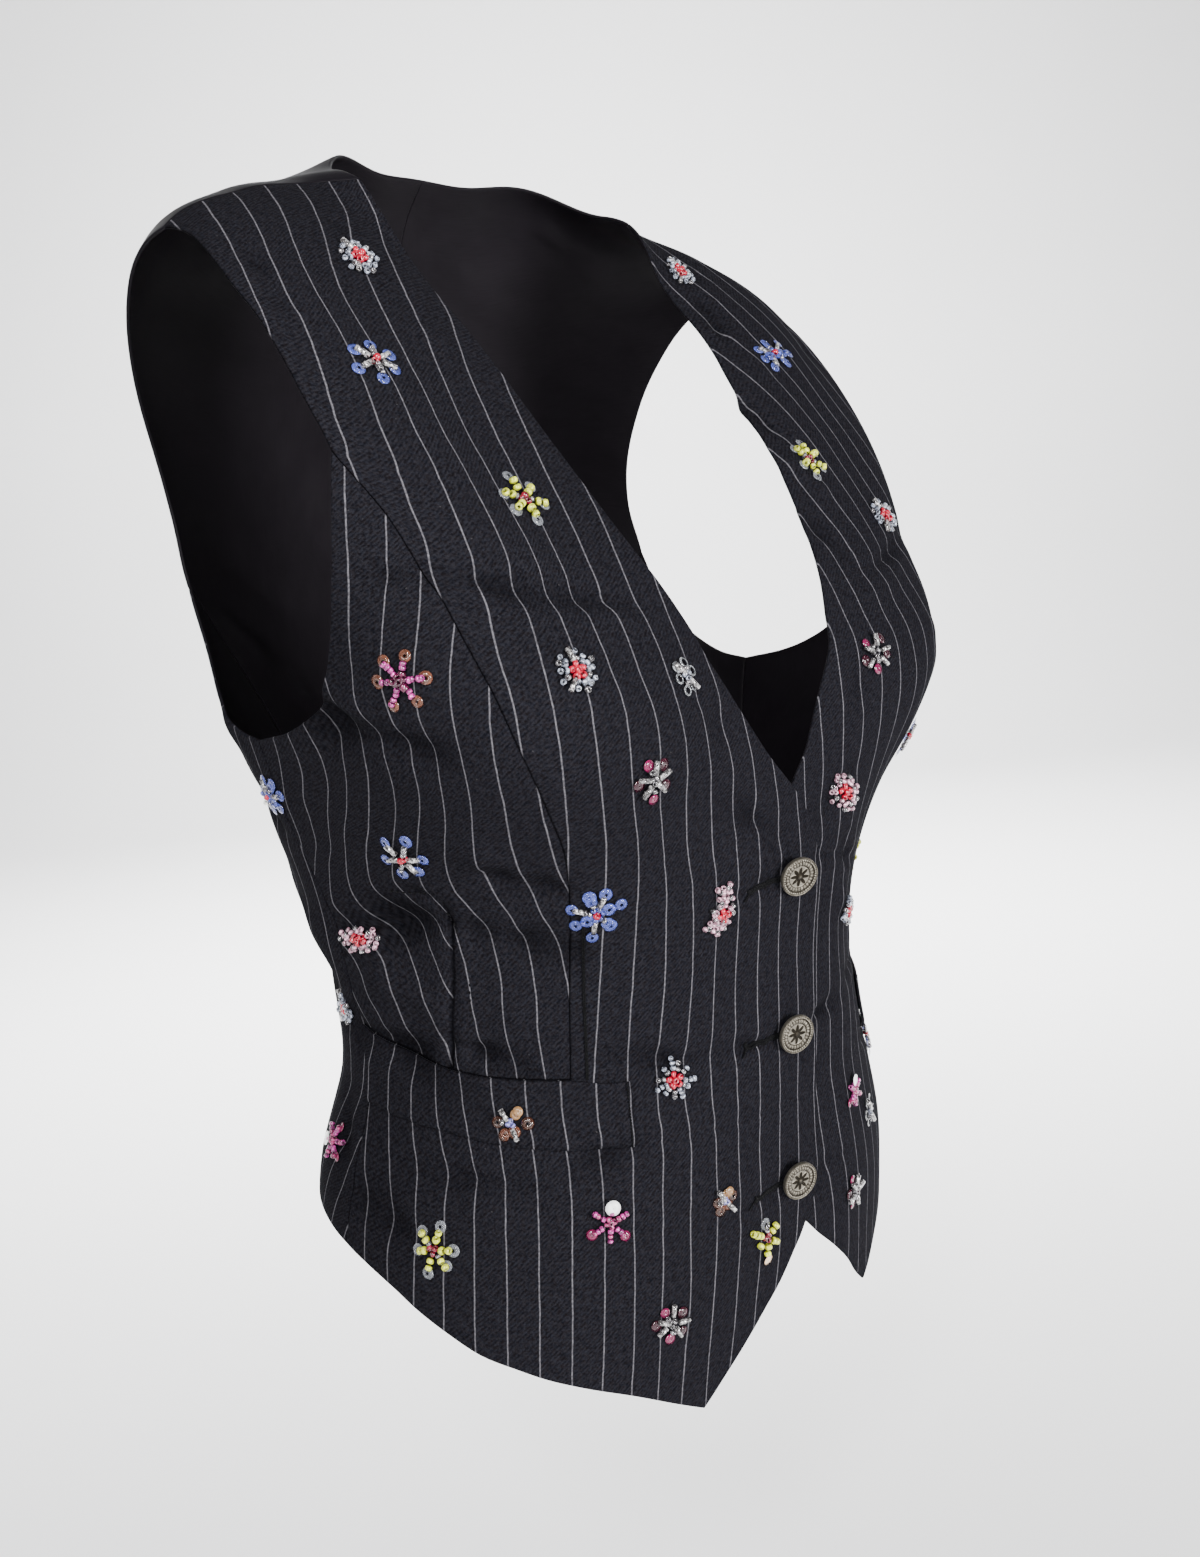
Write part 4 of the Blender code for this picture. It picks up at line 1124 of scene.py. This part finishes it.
def button_mesh(name, seat, metal):
    """One button with its shank, as turned rows of points."""
    ring, angle, aside, down = seat
    centre, out, side, up = ways(ring, angle)
    aside, down = math.radians(aside), math.radians(down)
    disc_out = (math.cos(down) * (out * math.cos(aside)
                                  - side * math.sin(aside))
                - up * math.sin(down))
    disc_side = side - disc_out * float(side @ disc_out)
    disc_side /= np.linalg.norm(disc_side)
    disc_up = np.cross(disc_out, disc_side)
    disc = centre + out * BUTTON_LIFT
    # radius, height (None on the face), whether on the disc, and brightness
    rows = [(SHANK_RADIUS, -LAP_SINK + 0.3, False, 0.0),
            (SHANK_RADIUS, 0.4, False, 0.0), (SHANK_RADIUS, 0.0, True, 0.0),
            (4.6, -0.05, True, 0.3), (7.8, 0.0, True, 0.4),
            (8.25, 0.35, True, 0.5), (BUTTON_RADIUS, 0.9, True, 0.5),
            (BUTTON_RADIUS, 1.6, True, 0.5), (8.35, 2.0, True, 0.5)]
    rows += [(r, None, True, 0.0) for r in
             (*np.arange(8.25, DISH_RADIUS, -0.11),
              *np.arange(4.65, 0.2, -0.15))]
    around = 176
    points, shine = [], []
    for radius, height, on_disc, bright in rows:
        start, axis, across, upward = ((disc, disc_out, disc_side, disc_up)
                                       if on_disc else (centre, out, side, up))
        for k in range(around):
            turn = 2 * math.pi * k / around
            lift = height
            if height is None:
                lift, bright = button_face(radius, turn)
            points.append((start + axis * lift
                           + across * radius * math.cos(turn)
                           + upward * radius * math.sin(turn)) * MM)
            shine.append(bright)
    lift, bright = button_face(0.0, 0.0)
    points.append((disc + disc_out * lift) * MM)
    shine.append(bright)
    faces = []
    for row in range(len(rows) - 1):
        for k in range(around):
            a, b = row * around + k, row * around + (k + 1) % around
            faces.append((a, b, b + around, a + around))
    last = (len(rows) - 1) * around
    faces += [(last + k, last + (k + 1) % around, len(points) - 1)
              for k in range(around)]
    faces.append(tuple(range(around))[::-1])
    mesh = bpy.data.meshes.new(name)
    mesh.from_pydata([tuple(p) for p in points], [], faces)
    keep(mesh, "worn", np.clip(shine, 0, 1))
    face_out(mesh)
    mesh.materials.append(metal)
    piece = linked(name, mesh)
    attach(piece, "root")
    return piece


def antique_silver():
    """Silver plate with a brown-black patina left in the hollows; rubbed
    bright on the high places, with fine scratches and dull spots."""
    material, tree, shader = new_material("antique_silver_plate")
    worn = add(tree, "ShaderNodeAttribute", {},
               attribute_name="worn").outputs["Fac"]
    where = add(tree, "ShaderNodeTexCoord", {}).outputs["Object"]
    # tarnish spots 1 to 2 mm across, and finer scratches
    spots, scratch = (
        add(tree, "ShaderNodeTexNoise",
            {"Vector": where, "Scale": scale, "Detail": detail})
        for scale, detail in ((700, 4), (2600, 3)))
    spotted = add(tree, "ShaderNodeMath", {0: spots, 1: 0.5, 2: -0.25},
                  operation="MULTIPLY_ADD")
    bright = add(tree, "ShaderNodeMath", {0: worn, 1: spotted},
                 operation="ADD")
    share = add(tree, "ShaderNodeMapRange", {"Value": bright, 1: 0.1, 2: 0.8},
                interpolation_type="SMOOTHSTEP")
    fill(tree, shader, {
        "Base Color": add(tree, "ShaderNodeMix",
                          {0: share, 6: linear("#1c170e"),
                           7: linear("#8d877b")}, data_type="RGBA"),
        "Roughness": add(tree, "ShaderNodeMapRange",
                         {"Value": share, 3: 0.6, 4: 0.42}),
        "Normal": add(tree, "ShaderNodeBump",
                      {"Height": scratch, "Strength": 0.3,
                       "Distance": 0.06 * MM}),
        "Metallic": 0.85})
    return material


silver = antique_silver()
for number, seat in enumerate(BUTTON_SEATS, 1):
    button = button_mesh("rosette_button_%d" % number, seat, silver)
    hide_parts("button_%d" % number)


# -------------------------------------------------------------- embroidery
# Small flowers sewn on by hand: glass seed beads, glass bugles and cupped
# plastic sequins, each strung on thread and held flat against the cloth.

# a bead: what it is, its colour and its outside size in mm; then how glassy
# # it is, how much its silver lining shows, how solid it is and how patchy:
# its
# # random tone and the strength of its painted glints, painted rim highlight
# and
# # painted shade in the hole
BEADS = {
    "ice": ("seed", "#c0c6d8", 2.4, 0.4, 0.15, 1.0, 0.6),
    "clear": ("seed", "#b4b0b4", 2.4, 0.55, 0.25, 0.9, 0.8),
    "red": ("seed", "#ac0428", 3.0, 0.1, 0.0, 1.0, 0.15),
    "garnet": ("seed", "#8a0a2c", 2.7, 0.2, 0.0, 1.0, 0.4),
    "pink": ("seed", "#c24398", 2.5, 0.2, 0.15, 1.0, 0.5),
    "blush": ("seed", "#eab4c8", 2.35, 0.2, 0.2, 1.0, 0.5),
    "yellow": ("seed", "#d8de40", 3.25, 0.15, 0.0, 1.0, 0.25),
    "magenta": ("seed", "#660a3c", 3.0, 0.2, 0.0, 1.0, 0.5),
    "blue": ("seed", "#5462cc", 2.6, 0.4, 0.0, 0.85, 0.5),
    "rose": ("seed", "#ae3c74", 2.5, 0.2, 0.1, 1.0, 0.4),
    "lilac": ("seed", "#8888cc", 2.2, 0.2, 0.0, 1.0, 0.3),
    "glass": ("bugle", "#dad6d6", 2.2, 0.4, 0.3, 0.92, 0.8),
    "sky_disc": ("sequin", "#6676d8", 5.2, 0.0, 0.0, 0.4, 0.2),
    "copper_disc": ("sequin", "#7c4832", 4.8, 0.0, 0.0, 0.6, 0.2),
    "tan_disc": ("disc", "#a07850", 4.1, 0.0, 0.0, 0.9, 0.1),
    "umber_disc": ("sequin", "#5a3322", 4.8, 0.0, 0.0, 0.65, 0.3),
    "clear_disc": ("sequin", "#b4b8c0", 5.0, 0.0, 0.0, 0.26, 0.2),
    "loop": ("ring", "#b8bcc0", 4.6, 0.2, 0.1, 0.5, 0.5),
    "peach_disc": ("disc", "#f4d0ac", 5.0, 0.0, 0.0, 1.0, 0.05),
    "wine_disc": ("disc", "#40041e", 5.0, 0.0, 0.0, 0.85, 0.2),
    "cerise_disc": ("disc", "#7a0a44", 4.4, 0.0, 0.0, 0.9, 0.1),
    # painted reflection: this sequin is pure white and even, for the bright
    # reflection it throws
    "painted_reflection_disc": ("disc", "#ffffff", 6.0, 0.0, 0.0, 1.0, 0.0)}

# flower: heart as (bead, how many), number of arms, then the arms in turn;
# a bead on an arm: bead, distance out and lift in mm, and how far it is
# tipped from lying along the arm (0) to showing its hole (1)
FLOWERS = {
    "daisy": (("red", 6), 14,
        (("ice", 4.7, 1.0, 0.1), ("ice", 7.0, 1.0, 0.7)),
        (("ice", 5.0, 1.1, 0.3), ("clear", 7.5, 0.9, 0.85)),
        (("ice", 4.6, 1.0, 0.0), ("ice", 6.9, 1.0, 0.5)),
        (("clear", 4.8, 1.0, 0.2), ("ice", 7.3, 0.9, 0.9)),
        (("glass", 6.0, 1.0, 0.0),)),
    "star_blue": (("red", 1), 7,
        (("blue", 2.4, 1.2, 0.2), ("sky_disc", 4.6, 1.6, 0.9),
         ("blue", 6.3, 1.2, 0.0), ("sky_disc", 9.2, 0.8, 0.9)),
        (("blue", 2.4, 1.1, 0.0), ("glass", 5.4, 1.1, 0.0),
         ("sky_disc", 9.2, 0.8, 0.9)),
        (("blue", 2.5, 1.2, 0.2), ("clear", 4.6, 1.1, 0.0),
         ("sky_disc", 6.6, 1.1, 0.9), ("sky_disc", 8.8, 0.8, 0.93)),
        (("clear", 2.6, 1.1, 0.0), ("clear", 4.6, 1.6, 0.8),
         ("glass", 6.6, 1.1, 0.0), ("sky_disc", 9.4, 0.8, 0.9))),
    "star_tipped": (("red", 2), 6,
        (("glass", 5.0, 1.1, 0.0), ("sky_disc", 9.2, 0.7, 0.92)),
        (("clear", 2.7, 1.1, 0.0), ("clear", 4.6, 1.1, 0.0),
         ("clear", 6.5, 1.1, 0.0), ("sky_disc", 9.0, 0.7, 0.9)),
        (("glass", 5.4, 1.3, 0.0), ("sky_disc", 8.2, 0.8, 0.9))),
    "yellow": (("garnet", 3), 6,
        (("yellow", 3.9, 1.3, 0.2), ("clear_disc", 8.0, 0.6, 0.94),
         ("yellow", 6.7, 1.4, 0.3)),
        (("yellow", 4.3, 1.3, 0.2), ("yellow", 7.2, 1.3, 0.2),
         ("clear_disc", 9.4, 0.7, 0.9)),
        (("clear", 3.1, 1.1, 0.2), ("yellow", 5.4, 1.3, 0.2),
         ("yellow", 8.2, 1.4, 0.4), ("clear_disc", 8.6, 0.6, 0.94))),
    "pink": (("magenta", 5), 6,
        (("pink", 3.4, 1.1, 0.0), ("pink", 5.2, 1.1, 0.0),
         ("pink", 7.0, 1.2, 0.0), ("copper_disc", 9.4, 0.7, 0.93),
         ("pink", 8.6, 1.5, 0.2)),
        (("magenta", 3.0, 1.1, 0.0), ("pink", 5.0, 1.1, 0.0),
         ("pink", 6.9, 1.2, 0.0), ("copper_disc", 9.6, 0.7, 0.93))),
    "blush": (("red", 6), 16,
        (("blush", 4.6, 1.2, 0.3), ("blush", 7.0, 1.0, 0.5)),
        (("clear", 5.4, 1.1, 0.5), ("blush", 7.8, 0.9, 0.2)),
        (("blush", 4.4, 1.2, 0.1), ("blush", 6.6, 1.0, 0.7)),
        (("blush", 5.2, 1.0, 0.6), ("clear", 7.4, 1.0, 0.2))),
    "blush_heart": (("red", 5), 9,
        (("blush", 4.2, 1.0, 0.3),),
        (("clear", 4.4, 1.0, 0.5),),
        (("blush", 4.0, 1.2, 0.7), ("clear", 5.8, 0.8, 0.2))),
    "blush_tuft": (("blush", 4), 8,
        (("blush", 3.3, 1.0, 0.4),),
        (("clear", 3.4, 1.1, 0.7), ("blush", 5.0, 0.9, 0.2))),
    "bugle": (("clear", 3), 10,
        (("glass", 4.6, 1.9, 0.0),),
        (("wine_disc", 6.4, 0.9, 0.95),),
        (("glass", 5.4, 1.6, 0.0),),
        (("cerise_disc", 6.6, 0.8, 0.95), ("clear", 3.6, 1.7, 0.3))),
    "spoke": (("red", 6), 11,
        (("ice", 4.4, 1.0, 0.0), ("ice", 6.2, 1.0, 0.0),
         ("ice", 8.0, 1.0, 0.1)),
        (("clear", 4.5, 1.0, 0.0), ("ice", 6.4, 1.0, 0.0)),
        (("clear", 4.5, 1.1, 0.0), ("clear", 6.5, 1.1, 0.5))),
    "copper": (("lilac", 3), 6,
        (("tan_disc", 6.2, 1.3, 1.0), ("tan_disc", 4.2, 0.8, 0.9)),
        (("glass", 5.2, 1.5, 0.0),),
        (("umber_disc", 5.4, 0.8, 0.9), ("clear", 3.4, 1.4, 0.3)),
        (("copper_disc", 5.2, 0.7, 0.93), ("umber_disc", 6.6, 0.5, 0.9)),
        (("glass", 5.4, 1.6, 0.0), ("copper_disc", 4.2, 0.7, 0.93)),
        (("umber_disc", 6.0, 0.8, 0.92),)),
    "rose": (("rose", 5), 6,
        (("pink", 3.5, 1.2, 0.0), ("rose", 5.4, 1.2, 0.0),
         ("pink", 7.3, 1.2, 0.1)),
        (("pink", 3.5, 1.2, 0.0), ("pink", 5.3, 1.2, 0.0),
         ("cerise_disc", 7.8, 0.8, 0.93), ("rose", 7.0, 1.5, 0.3)),
        (("rose", 3.5, 1.2, 0.0), ("pink", 5.3, 1.2, 0.0),
         ("pink", 7.1, 1.2, 0.0)),
        (("pink", 3.5, 1.2, 0.0), ("painted_reflection_disc", 5.6, 2.1, 1.0))),
    "silver": (("ice", 3), 6,
        (("loop", 5.0, 0.9, 0.95),),
        (("clear", 3.2, 1.2, 0.3), ("loop", 5.8, 0.8, 0.9)),
        (("loop", 5.4, 0.9, 0.95), ("glass", 4.4, 1.4, 0.0))),
    "yellow_peach": (("garnet", 3), 6,
        (("yellow", 4.0, 1.3, 0.2), ("yellow", 6.8, 1.3, 0.3),
         ("peach_disc", 9.6, 1.4, 0.95)),
        (("yellow", 5.0, 1.3, 0.2), ("yellow", 7.6, 1.2, 0.3)),
        (("yellow", 4.2, 1.3, 0.2), ("yellow", 7.0, 1.3, 0.2)),
        (("clear", 3.4, 1.1, 0.2), ("clear", 5.2, 1.1, 0.8),
         ("clear_disc", 6.4, 0.8, 0.9)),
        (("yellow", 4.4, 1.3, 0.2), ("yellow", 7.2, 1.3, 0.2),
         ("yellow", 9.6, 1.2, 0.2)),
        (("yellow", 5.0, 1.3, 0.2),))}

# where each flower is sewn: ring, angle, kind, turn, size one way and the
# other, and how far the first of these is turned from straight across
SEWN = (
    (2.12, -63.7, "daisy", 10, 1.4, 0.94, 53),
    (3.195, -58.3, "star_tipped", 25, 0.95, 0.9),
    (3.6, -41.5, "yellow", 40, 1.0, 1.0), (5.69, -57.4, "pink", 5, 0.97, 0.97),
    (5.38, -38.8, "daisy", 0, 1.0, 1.0),
    (5.47, -22.7, "silver", 15, 0.95, 0.95),
    (6.73, -30.8, "bugle", 20, 1.0, 1.0),
    (7.33, -66.8, "star_tipped", 0, 1.0, 1.0),
    (8.1, -40.5, "star_blue", 12, 1.0, 1.0),
    (8.33, -84.8, "blush", 30, 1.4, 0.66, 3),
    (8.35, -18.5, "blush_heart", 75, 1.0, 1.0),
    (8.14, -18.1, "blush_tuft", 20, 0.9, 1.05),
    (8.43, -19.9, "blush_tuft", 60, 1.0, 0.85),
    (9.95, -30.2, "spoke", 0, 1.0, 1.0),
    (11.38, -73.5, "yellow", 10, 1.0, 1.0),
    (11.23, -44.4, "rose", -100, 1.0, 1.0),
    (11.35, -21.6, "copper", 60, 0.72, 0.72),
    (11.88, -11.2, "yellow_peach", -90, 0.9, 1.0),
    (12.21, -34.6, "bugle", 0, 1.0, 1.0),
    (6.79, -93.9, "star_blue", -50, 0.93, 0.7, 21),
    (9.22, -98.9, "daisy", 0, 1.3, 0.84, 15),
    (10.7, -102.5, "rose", 10, 1.0, 1.0), (8.1, -120.0, "daisy", 0, 1.0, 1.0),
    (9.9, -125.0, "yellow", 20, 1.0, 1.0),
    (1.45, 66.6, "daisy", 0, 1.4, 0.92, 74),
    (2.61, 56.0, "star_blue", 0, 1.35, 0.83, 21),
    (3.18, 39.0, "yellow", 20, 1.0, 1.0),
    (4.16, 46.6, "daisy", 10, 1.5, 1.04, -1),
    (5.67, 24.4, "bugle", 15, 1.23, 1.0, 36),
    (7.05, 39.2, "star_tipped", 0, 1.0, 1.0),
    (7.45, 14.7, "blush", 0, 1.3, 0.96, -33),
    (8.9, 24.4, "spoke", 0, 1.3, 0.82, -25),
    (11.01, 24.5, "rose", -90, 0.85, 0.95),
    (11.45, 34.5, "silver", 0, 1.0, 1.0), (12.05, 23.8, "bugle", 0, 1.0, 1.0),
    (5.6, 58.0, "pink", 20, 1.0, 1.0), (7.7, 62.0, "daisy", 0, 1.0, 1.0),
    (8.5, 45.0, "yellow", 0, 1.0, 1.0), (8.3, 84.0, "blush", 0, 1.1, 0.9),
    (10.9, 52.0, "star_tipped", 0, 1.0, 1.0),
    (11.3, 76.0, "copper", 0, 1.0, 1.0), (7.0, 101.0, "spoke", 0, 1.0, 1.0),
    (9.3, 100.0, "pink", 0, 1.0, 1.0), (10.8, 112.0, "daisy", 0, 1.0, 1.0),
    (8.4, 122.0, "bugle", 0, 1.0, 1.0))
SEWN_ON_WELT = ((10.18, -60.2, "copper", 58, 0.95, 0.95),
                (10.2, 66.0, "silver", 0, 0.85, 0.85))

strung = {bead: ([], []) for bead in BEADS}


def thread_on(bead, place, across, up, lift, axis, tip):
    """Put one bead beside a place; axis is its hole, across and up."""
    ring, angle = beside(*place, across, up)
    point, (normal, side, upward) = on_cloth(ring, angle, lift)
    lie = axis[0] * side + axis[1] * upward
    hole = lie * (1 - tip) + normal * tip
    strung[bead][0].append(point * MM)
    strung[bead][1].append(hole / np.linalg.norm(hole))


def sew_flower(ring, angle, kind, turn, wide, tall, aslant=0.0, *, raised):
    """One flower: its heart, then arm after arm."""
    (heart, hearts), count, *arms = FLOWERS[kind]
    size = BEADS[heart][2]
    # five or more have one on top; the others lie in a ring this far out
    middle = hearts if hearts < 5 else hearts - 1
    out = size * (0.0, 0.0, 0.45, 0.55, 0.66, 0.8, 0.92)[middle]
    slant = math.radians(aslant)

    def shaped(out, spin):
        first = out * math.cos(spin - slant) * wide
        second = out * math.sin(spin - slant) * tall
        return (first * math.cos(slant) - second * math.sin(slant),
                first * math.sin(slant) + second * math.cos(slant))

    if hearts > 4:
        thread_on(heart, (ring, angle), 0.0, 0.0, raised + 1.7, (1, 0), 0.8)
    for k in range(middle):
        spin = 2 * math.pi * k / middle + math.radians(turn) + 0.4
        thread_on(heart, (ring, angle), *shaped(out, spin),
                  raised + (1.2 if middle > 1 else 1.9),
                  (math.sin(spin), math.cos(spin)), 0.3 + 0.1 * (k % 3))
    loose = 0.25 if kind in ("bugle", "copper") else 0.15
    for k in range(count):
        spin = math.radians(turn) + 2 * math.pi * k / count
        spin += random.normal(0, 0.5 * loose)
        reach = 1 + random.normal(0, 0.3 * loose)
        for bead, out, lift, tip in arms[k % len(arms)]:
            x, y = shaped(out * reach, spin)
            thread_on(bead, (ring, angle), x + random.normal(0, loose),
                      y + random.normal(0, loose), raised + lift,
                      (math.cos(spin), math.sin(spin)),
                      min(1.0, max(0.0, tip + random.normal(0, 0.05))))


FLOWER_LIFT = 0.35              # a flower stands this far off its cloth, mm
for row in SEWN:
    sew_flower(*row, raised=FLOWER_LIFT)
for row in SEWN_ON_WELT:
    sew_flower(*row, raised=FLOWER_LIFT + LAY_GAP + WELT_WALL)


def bead_tree(name, square):
    """Geometry Nodes: a ring swept by a round or a square profile, one on
    each point, with its hole along the point's axis."""
    tree, given = new_tree(name, [
        ("Ring radius", "Float"), ("Wall", "Float"), ("Length", "Float"),
        ("Cup", "Float"), ("Sides", "Int"), ("Seed", "Int")])
    path = add(tree, "GeometryNodeCurvePrimitiveCircle",
               {"Resolution": given["Sides"], "Radius": given["Ring radius"]})
    if square:
        wall = add(tree, "GeometryNodeCurvePrimitiveQuadrilateral",
                   {"Width": given["Wall"], "Height": given["Length"]})
        bend = add(tree, "ShaderNodeCombineXYZ", {2: given["Cup"]})
        profile = add(tree, "GeometryNodeTransform",
                      {"Geometry": wall, "Rotation": bend})
    else:
        wall = add(tree, "GeometryNodeCurvePrimitiveCircle",
                   {"Resolution": 8, "Radius": 1.0})
        stretch = add(tree, "ShaderNodeCombineXYZ",
                      {0: given["Wall"], 1: given["Length"], 2: 1.0})
        profile = add(tree, "GeometryNodeTransform",
                      {"Geometry": wall, "Scale": stretch})
    ring = add(tree, "GeometryNodeCurveToMesh",
               {"Curve": path, "Profile Curve": profile})
    # how far out from the bead's hole, for the painted shade in the hole and
    # the painted highlight on the rim
    spot = add(tree, "GeometryNodeInputPosition", {})
    flat = add(tree, "ShaderNodeVectorMath", {0: spot, 1: (1.0, 1.0, 0.0)},
               operation="MULTIPLY")
    far = add(tree, "ShaderNodeVectorMath", {0: flat}, operation="LENGTH")
    whole = add(tree, "ShaderNodeMath",
                {0: given["Ring radius"], 1: given["Wall"]}, operation="ADD")
    rim = add(tree, "ShaderNodeMath", {0: far, 1: whole}, operation="DIVIDE")
    ring = add(tree, "GeometryNodeStoreNamedAttribute",
               {"Geometry": ring, "Name": "from_hole", "Value": rim},
               data_type="FLOAT", domain="POINT")
    size = add(tree, "FunctionNodeRandomValue",
               {2: 0.9, 3: 1.08, "Seed": given["Seed"]}, data_type="FLOAT")
    return planted(tree, given, ring, size)


def bead_glass(name, colour, clear, foil, solid, patchy):
    """Pressed glass or thin plastic film, some with a silver lining: glossy,
    more or less see-through, a little different from bead to bead; painted
    glints, a painted bright rim and painted shade in the hole are in its
    colour."""
    material, tree, shader = new_material(name)
    where = add(tree, "ShaderNodeTexCoord", {}).outputs["Object"]
    # one tone for about each bead, 2.5 mm apart, and painted glints and
    # painted dark patches of about 1 mm, for the light and shade on facets and
    # bubbles
    tone, glint = (
        add(tree, "ShaderNodeTexNoise",
            {"Vector": where, "Scale": scale, "Detail": detail,
             "Roughness": rough})
        for scale, detail, rough in ((480, 2, 0.6), (1000, 1, 0.5)))
    # painted highlight on the outer rim and painted shade in the hole, set by
    # how far out from the hole
    rim = add(tree, "ShaderNodeAttribute", {},
              attribute_name="from_hole").outputs["Fac"]
    # each part of the brightness: where it begins and ends, and how bright
    # it is at each
    light = linear(colour)[:3]
    bright = 1.0
    for part, *ends in (
            (tone, 0.36, 0.64, 1 - 0.65 * min(1.0, 2 * patchy), 1.2),
            (glint, 0.4, 0.62, 1 - patchy, 1 + 0.8 * patchy),
            (rim, 0.3, 0.95, 1 - min(0.6, 2 * patchy), 1.15)):
        share = add(tree, "ShaderNodeMapRange",
                    {"Value": part, **dict(enumerate(ends, 1))})
        bright = add(tree, "ShaderNodeMath", {0: bright, 1: share},
                     operation="MULTIPLY")
    fill(tree, shader, {
        "Base Color": add(tree, "ShaderNodeVectorMath",
                          {0: light, "Scale": bright}, operation="SCALE"),
        "Roughness": add(tree, "ShaderNodeMapRange",
                         {"Value": tone, 3: 0.06, 4: 0.2}),
        "IOR": 1.52, "Metallic": foil, "Transmission Weight": clear,
        "Alpha": solid, "Coat Weight": 1.0, "Coat Roughness": 0.04})
    return material


round_beads = bead_tree("round_seed_beads", False)
square_beads = bead_tree("bugles_and_sequins", True)
# a form: its ring's radius and its wall, as shares of the bead's size; its
# length in mm, None if that is a share too; how far it is cupped; its sides
FORMS = {"seed": (0.31, 0.19, None, 0.0, 12),
         "bugle": (0.35, 0.3, 5.4, 0.0, 7),
         "sequin": (0.31, 0.38, 0.14, 0.22, 20),
         "ring": (0.4, 0.2, 0.14, 0.22, 20),
         "disc": (0.26, 0.48, 0.14, 0.22, 20)}
for number, (bead, (form, colour, size, *look)) in enumerate(BEADS.items()):
    at, axes = strung[bead]
    made = "film" if form in ("sequin", "disc") else "glass"
    ring, wall, length, cup, count = FORMS[form]
    grown("%s_%ss" % (bead, form), at, {"axis": axes},
          round_beads if form == "seed" else square_beads,
          {"Ring radius": ring * size * MM, "Wall": wall * size * MM,
           "Length": (length or 0.34 * size) * MM, "Cup": cup,
           "Sides": count, "Seed": number,
           "Material": bead_glass("%s_%s" % (bead, made), colour, *look)})


# ------------------------------------------------------- floor, light, camera
# A plain pale studio sweep below the hem, large soft lamps, and the camera
# at the wearer's right, level with the chest.

# the sweep: (depth, height) of each of its lines, m, from the floor before
# the garment up a curve of 1.2 m into a wall far behind it
turns = [math.pi / 2 * k / 12 for k in range(1, 13)]
profile = [(-4.0, 0.0), (3.0, 0.0),
           *[(3.0 + 1.2 * math.sin(turn), 1.2 * (1 - math.cos(turn)))
             for turn in turns], (4.2, 4.5)]
FLOOR_LEVEL, SWEEP_TURN = -0.75, math.radians(44.6)
points = [(across * math.cos(SWEEP_TURN) + depth * math.sin(SWEEP_TURN),
           depth * math.cos(SWEEP_TURN) - across * math.sin(SWEEP_TURN),
           height + FLOOR_LEVEL)
          for depth, height in profile for across in (-7.0, 7.0)]
faces = [(2 * k, 2 * k + 1, 2 * k + 3, 2 * k + 2)
         for k in range(len(profile) - 1)]
sweep = bpy.data.meshes.new("studio_sweep")
sweep.from_pydata(points, [], faces)
sweep.shade_smooth()
painted, tree, shader = new_material("pale_painted_sweep")
where = add(tree, "ShaderNodeTexCoord", {}).outputs["Object"]
cloud = add(tree, "ShaderNodeTexNoise", {"Vector": where, "Scale": 1.5})
fill(tree, shader, {
    "Base Color": add(tree, "ShaderNodeMix",
                      {0: cloud, 6: linear("#f1f1f1"),
                       7: linear("#f5f5f6")}, data_type="RGBA"),
    "Roughness": 0.9})
sweep.materials.append(painted)
piece = linked("studio_sweep", sweep)

# a lamp: its name, place, what it points at, size in m and power in W
for name, place, aim, size, power in (
        ("key_front", (0.1, -2.8, -0.1), (0, 0, -0.3), 1.1, 125),
        ("window_side", (-2.4, -1.0, 0.2), (0, 0, -0.3), 1.0, 34),
        ("back_side", (-0.6, 2.4, 1.2), (0, 0, -0.3), 2.0, 15),
        ("near_camera", (-0.75, -0.55, 0.25), (0, -0.1, -0.25), 0.2, 9),
        ("backdrop", (0.7, 0.7, 1.15), (1.3, 1.3, 0.55), 0.6, 300)):
    data = bpy.data.lights.new(name, "AREA")
    data.shape, data.size, data.energy = "DISK", size, power
    lamp = linked(name, data)
    lamp.location = place
    lamp.rotation_euler = (Vector(aim) - Vector(place)).to_track_quat(
        "-Z", "Y").to_euler()

world = bpy.data.worlds.new("studio_air")
world.use_nodes = True
fill(world.node_tree, world.node_tree.nodes["Background"],
     {0: linear("#f4f5f7"), 1: 0.34})
bpy.context.scene.world = world

# where the camera stands round the target, degrees and mm, and its lens
AZIMUTH, ELEVATION, ROLL = map(math.radians, (-44.60, 8.03, -5.67))
DISTANCE, TARGET = 661.07, np.array([20.47, 0.0, -273.96])
FOCAL_PIXELS, FRAME_HEIGHT, SENSOR = 1363.07, 1557, 36.0
back_way = np.array([math.sin(AZIMUTH) * math.cos(ELEVATION),
                     -math.cos(AZIMUTH) * math.cos(ELEVATION),
                     math.sin(ELEVATION)])
right_way = np.cross(-back_way, [0.0, 0.0, 1.0])
right_way /= np.linalg.norm(right_way)
up_way = np.cross(right_way, -back_way)
camera_x = right_way * math.cos(ROLL) + up_way * math.sin(ROLL)
camera_y = -right_way * math.sin(ROLL) + up_way * math.cos(ROLL)
data = bpy.data.cameras.new("camera")
data.sensor_width = SENSOR
data.lens = FOCAL_PIXELS / FRAME_HEIGHT * SENSOR
data.clip_start, data.clip_end = 0.01, 50.0
camera = linked("camera", data)
place = (TARGET + back_way * DISTANCE) * MM
camera.matrix_world = Matrix([*zip(camera_x, camera_y, back_way, place),
                              (0, 0, 0, 1)])
bpy.context.scene.camera = camera
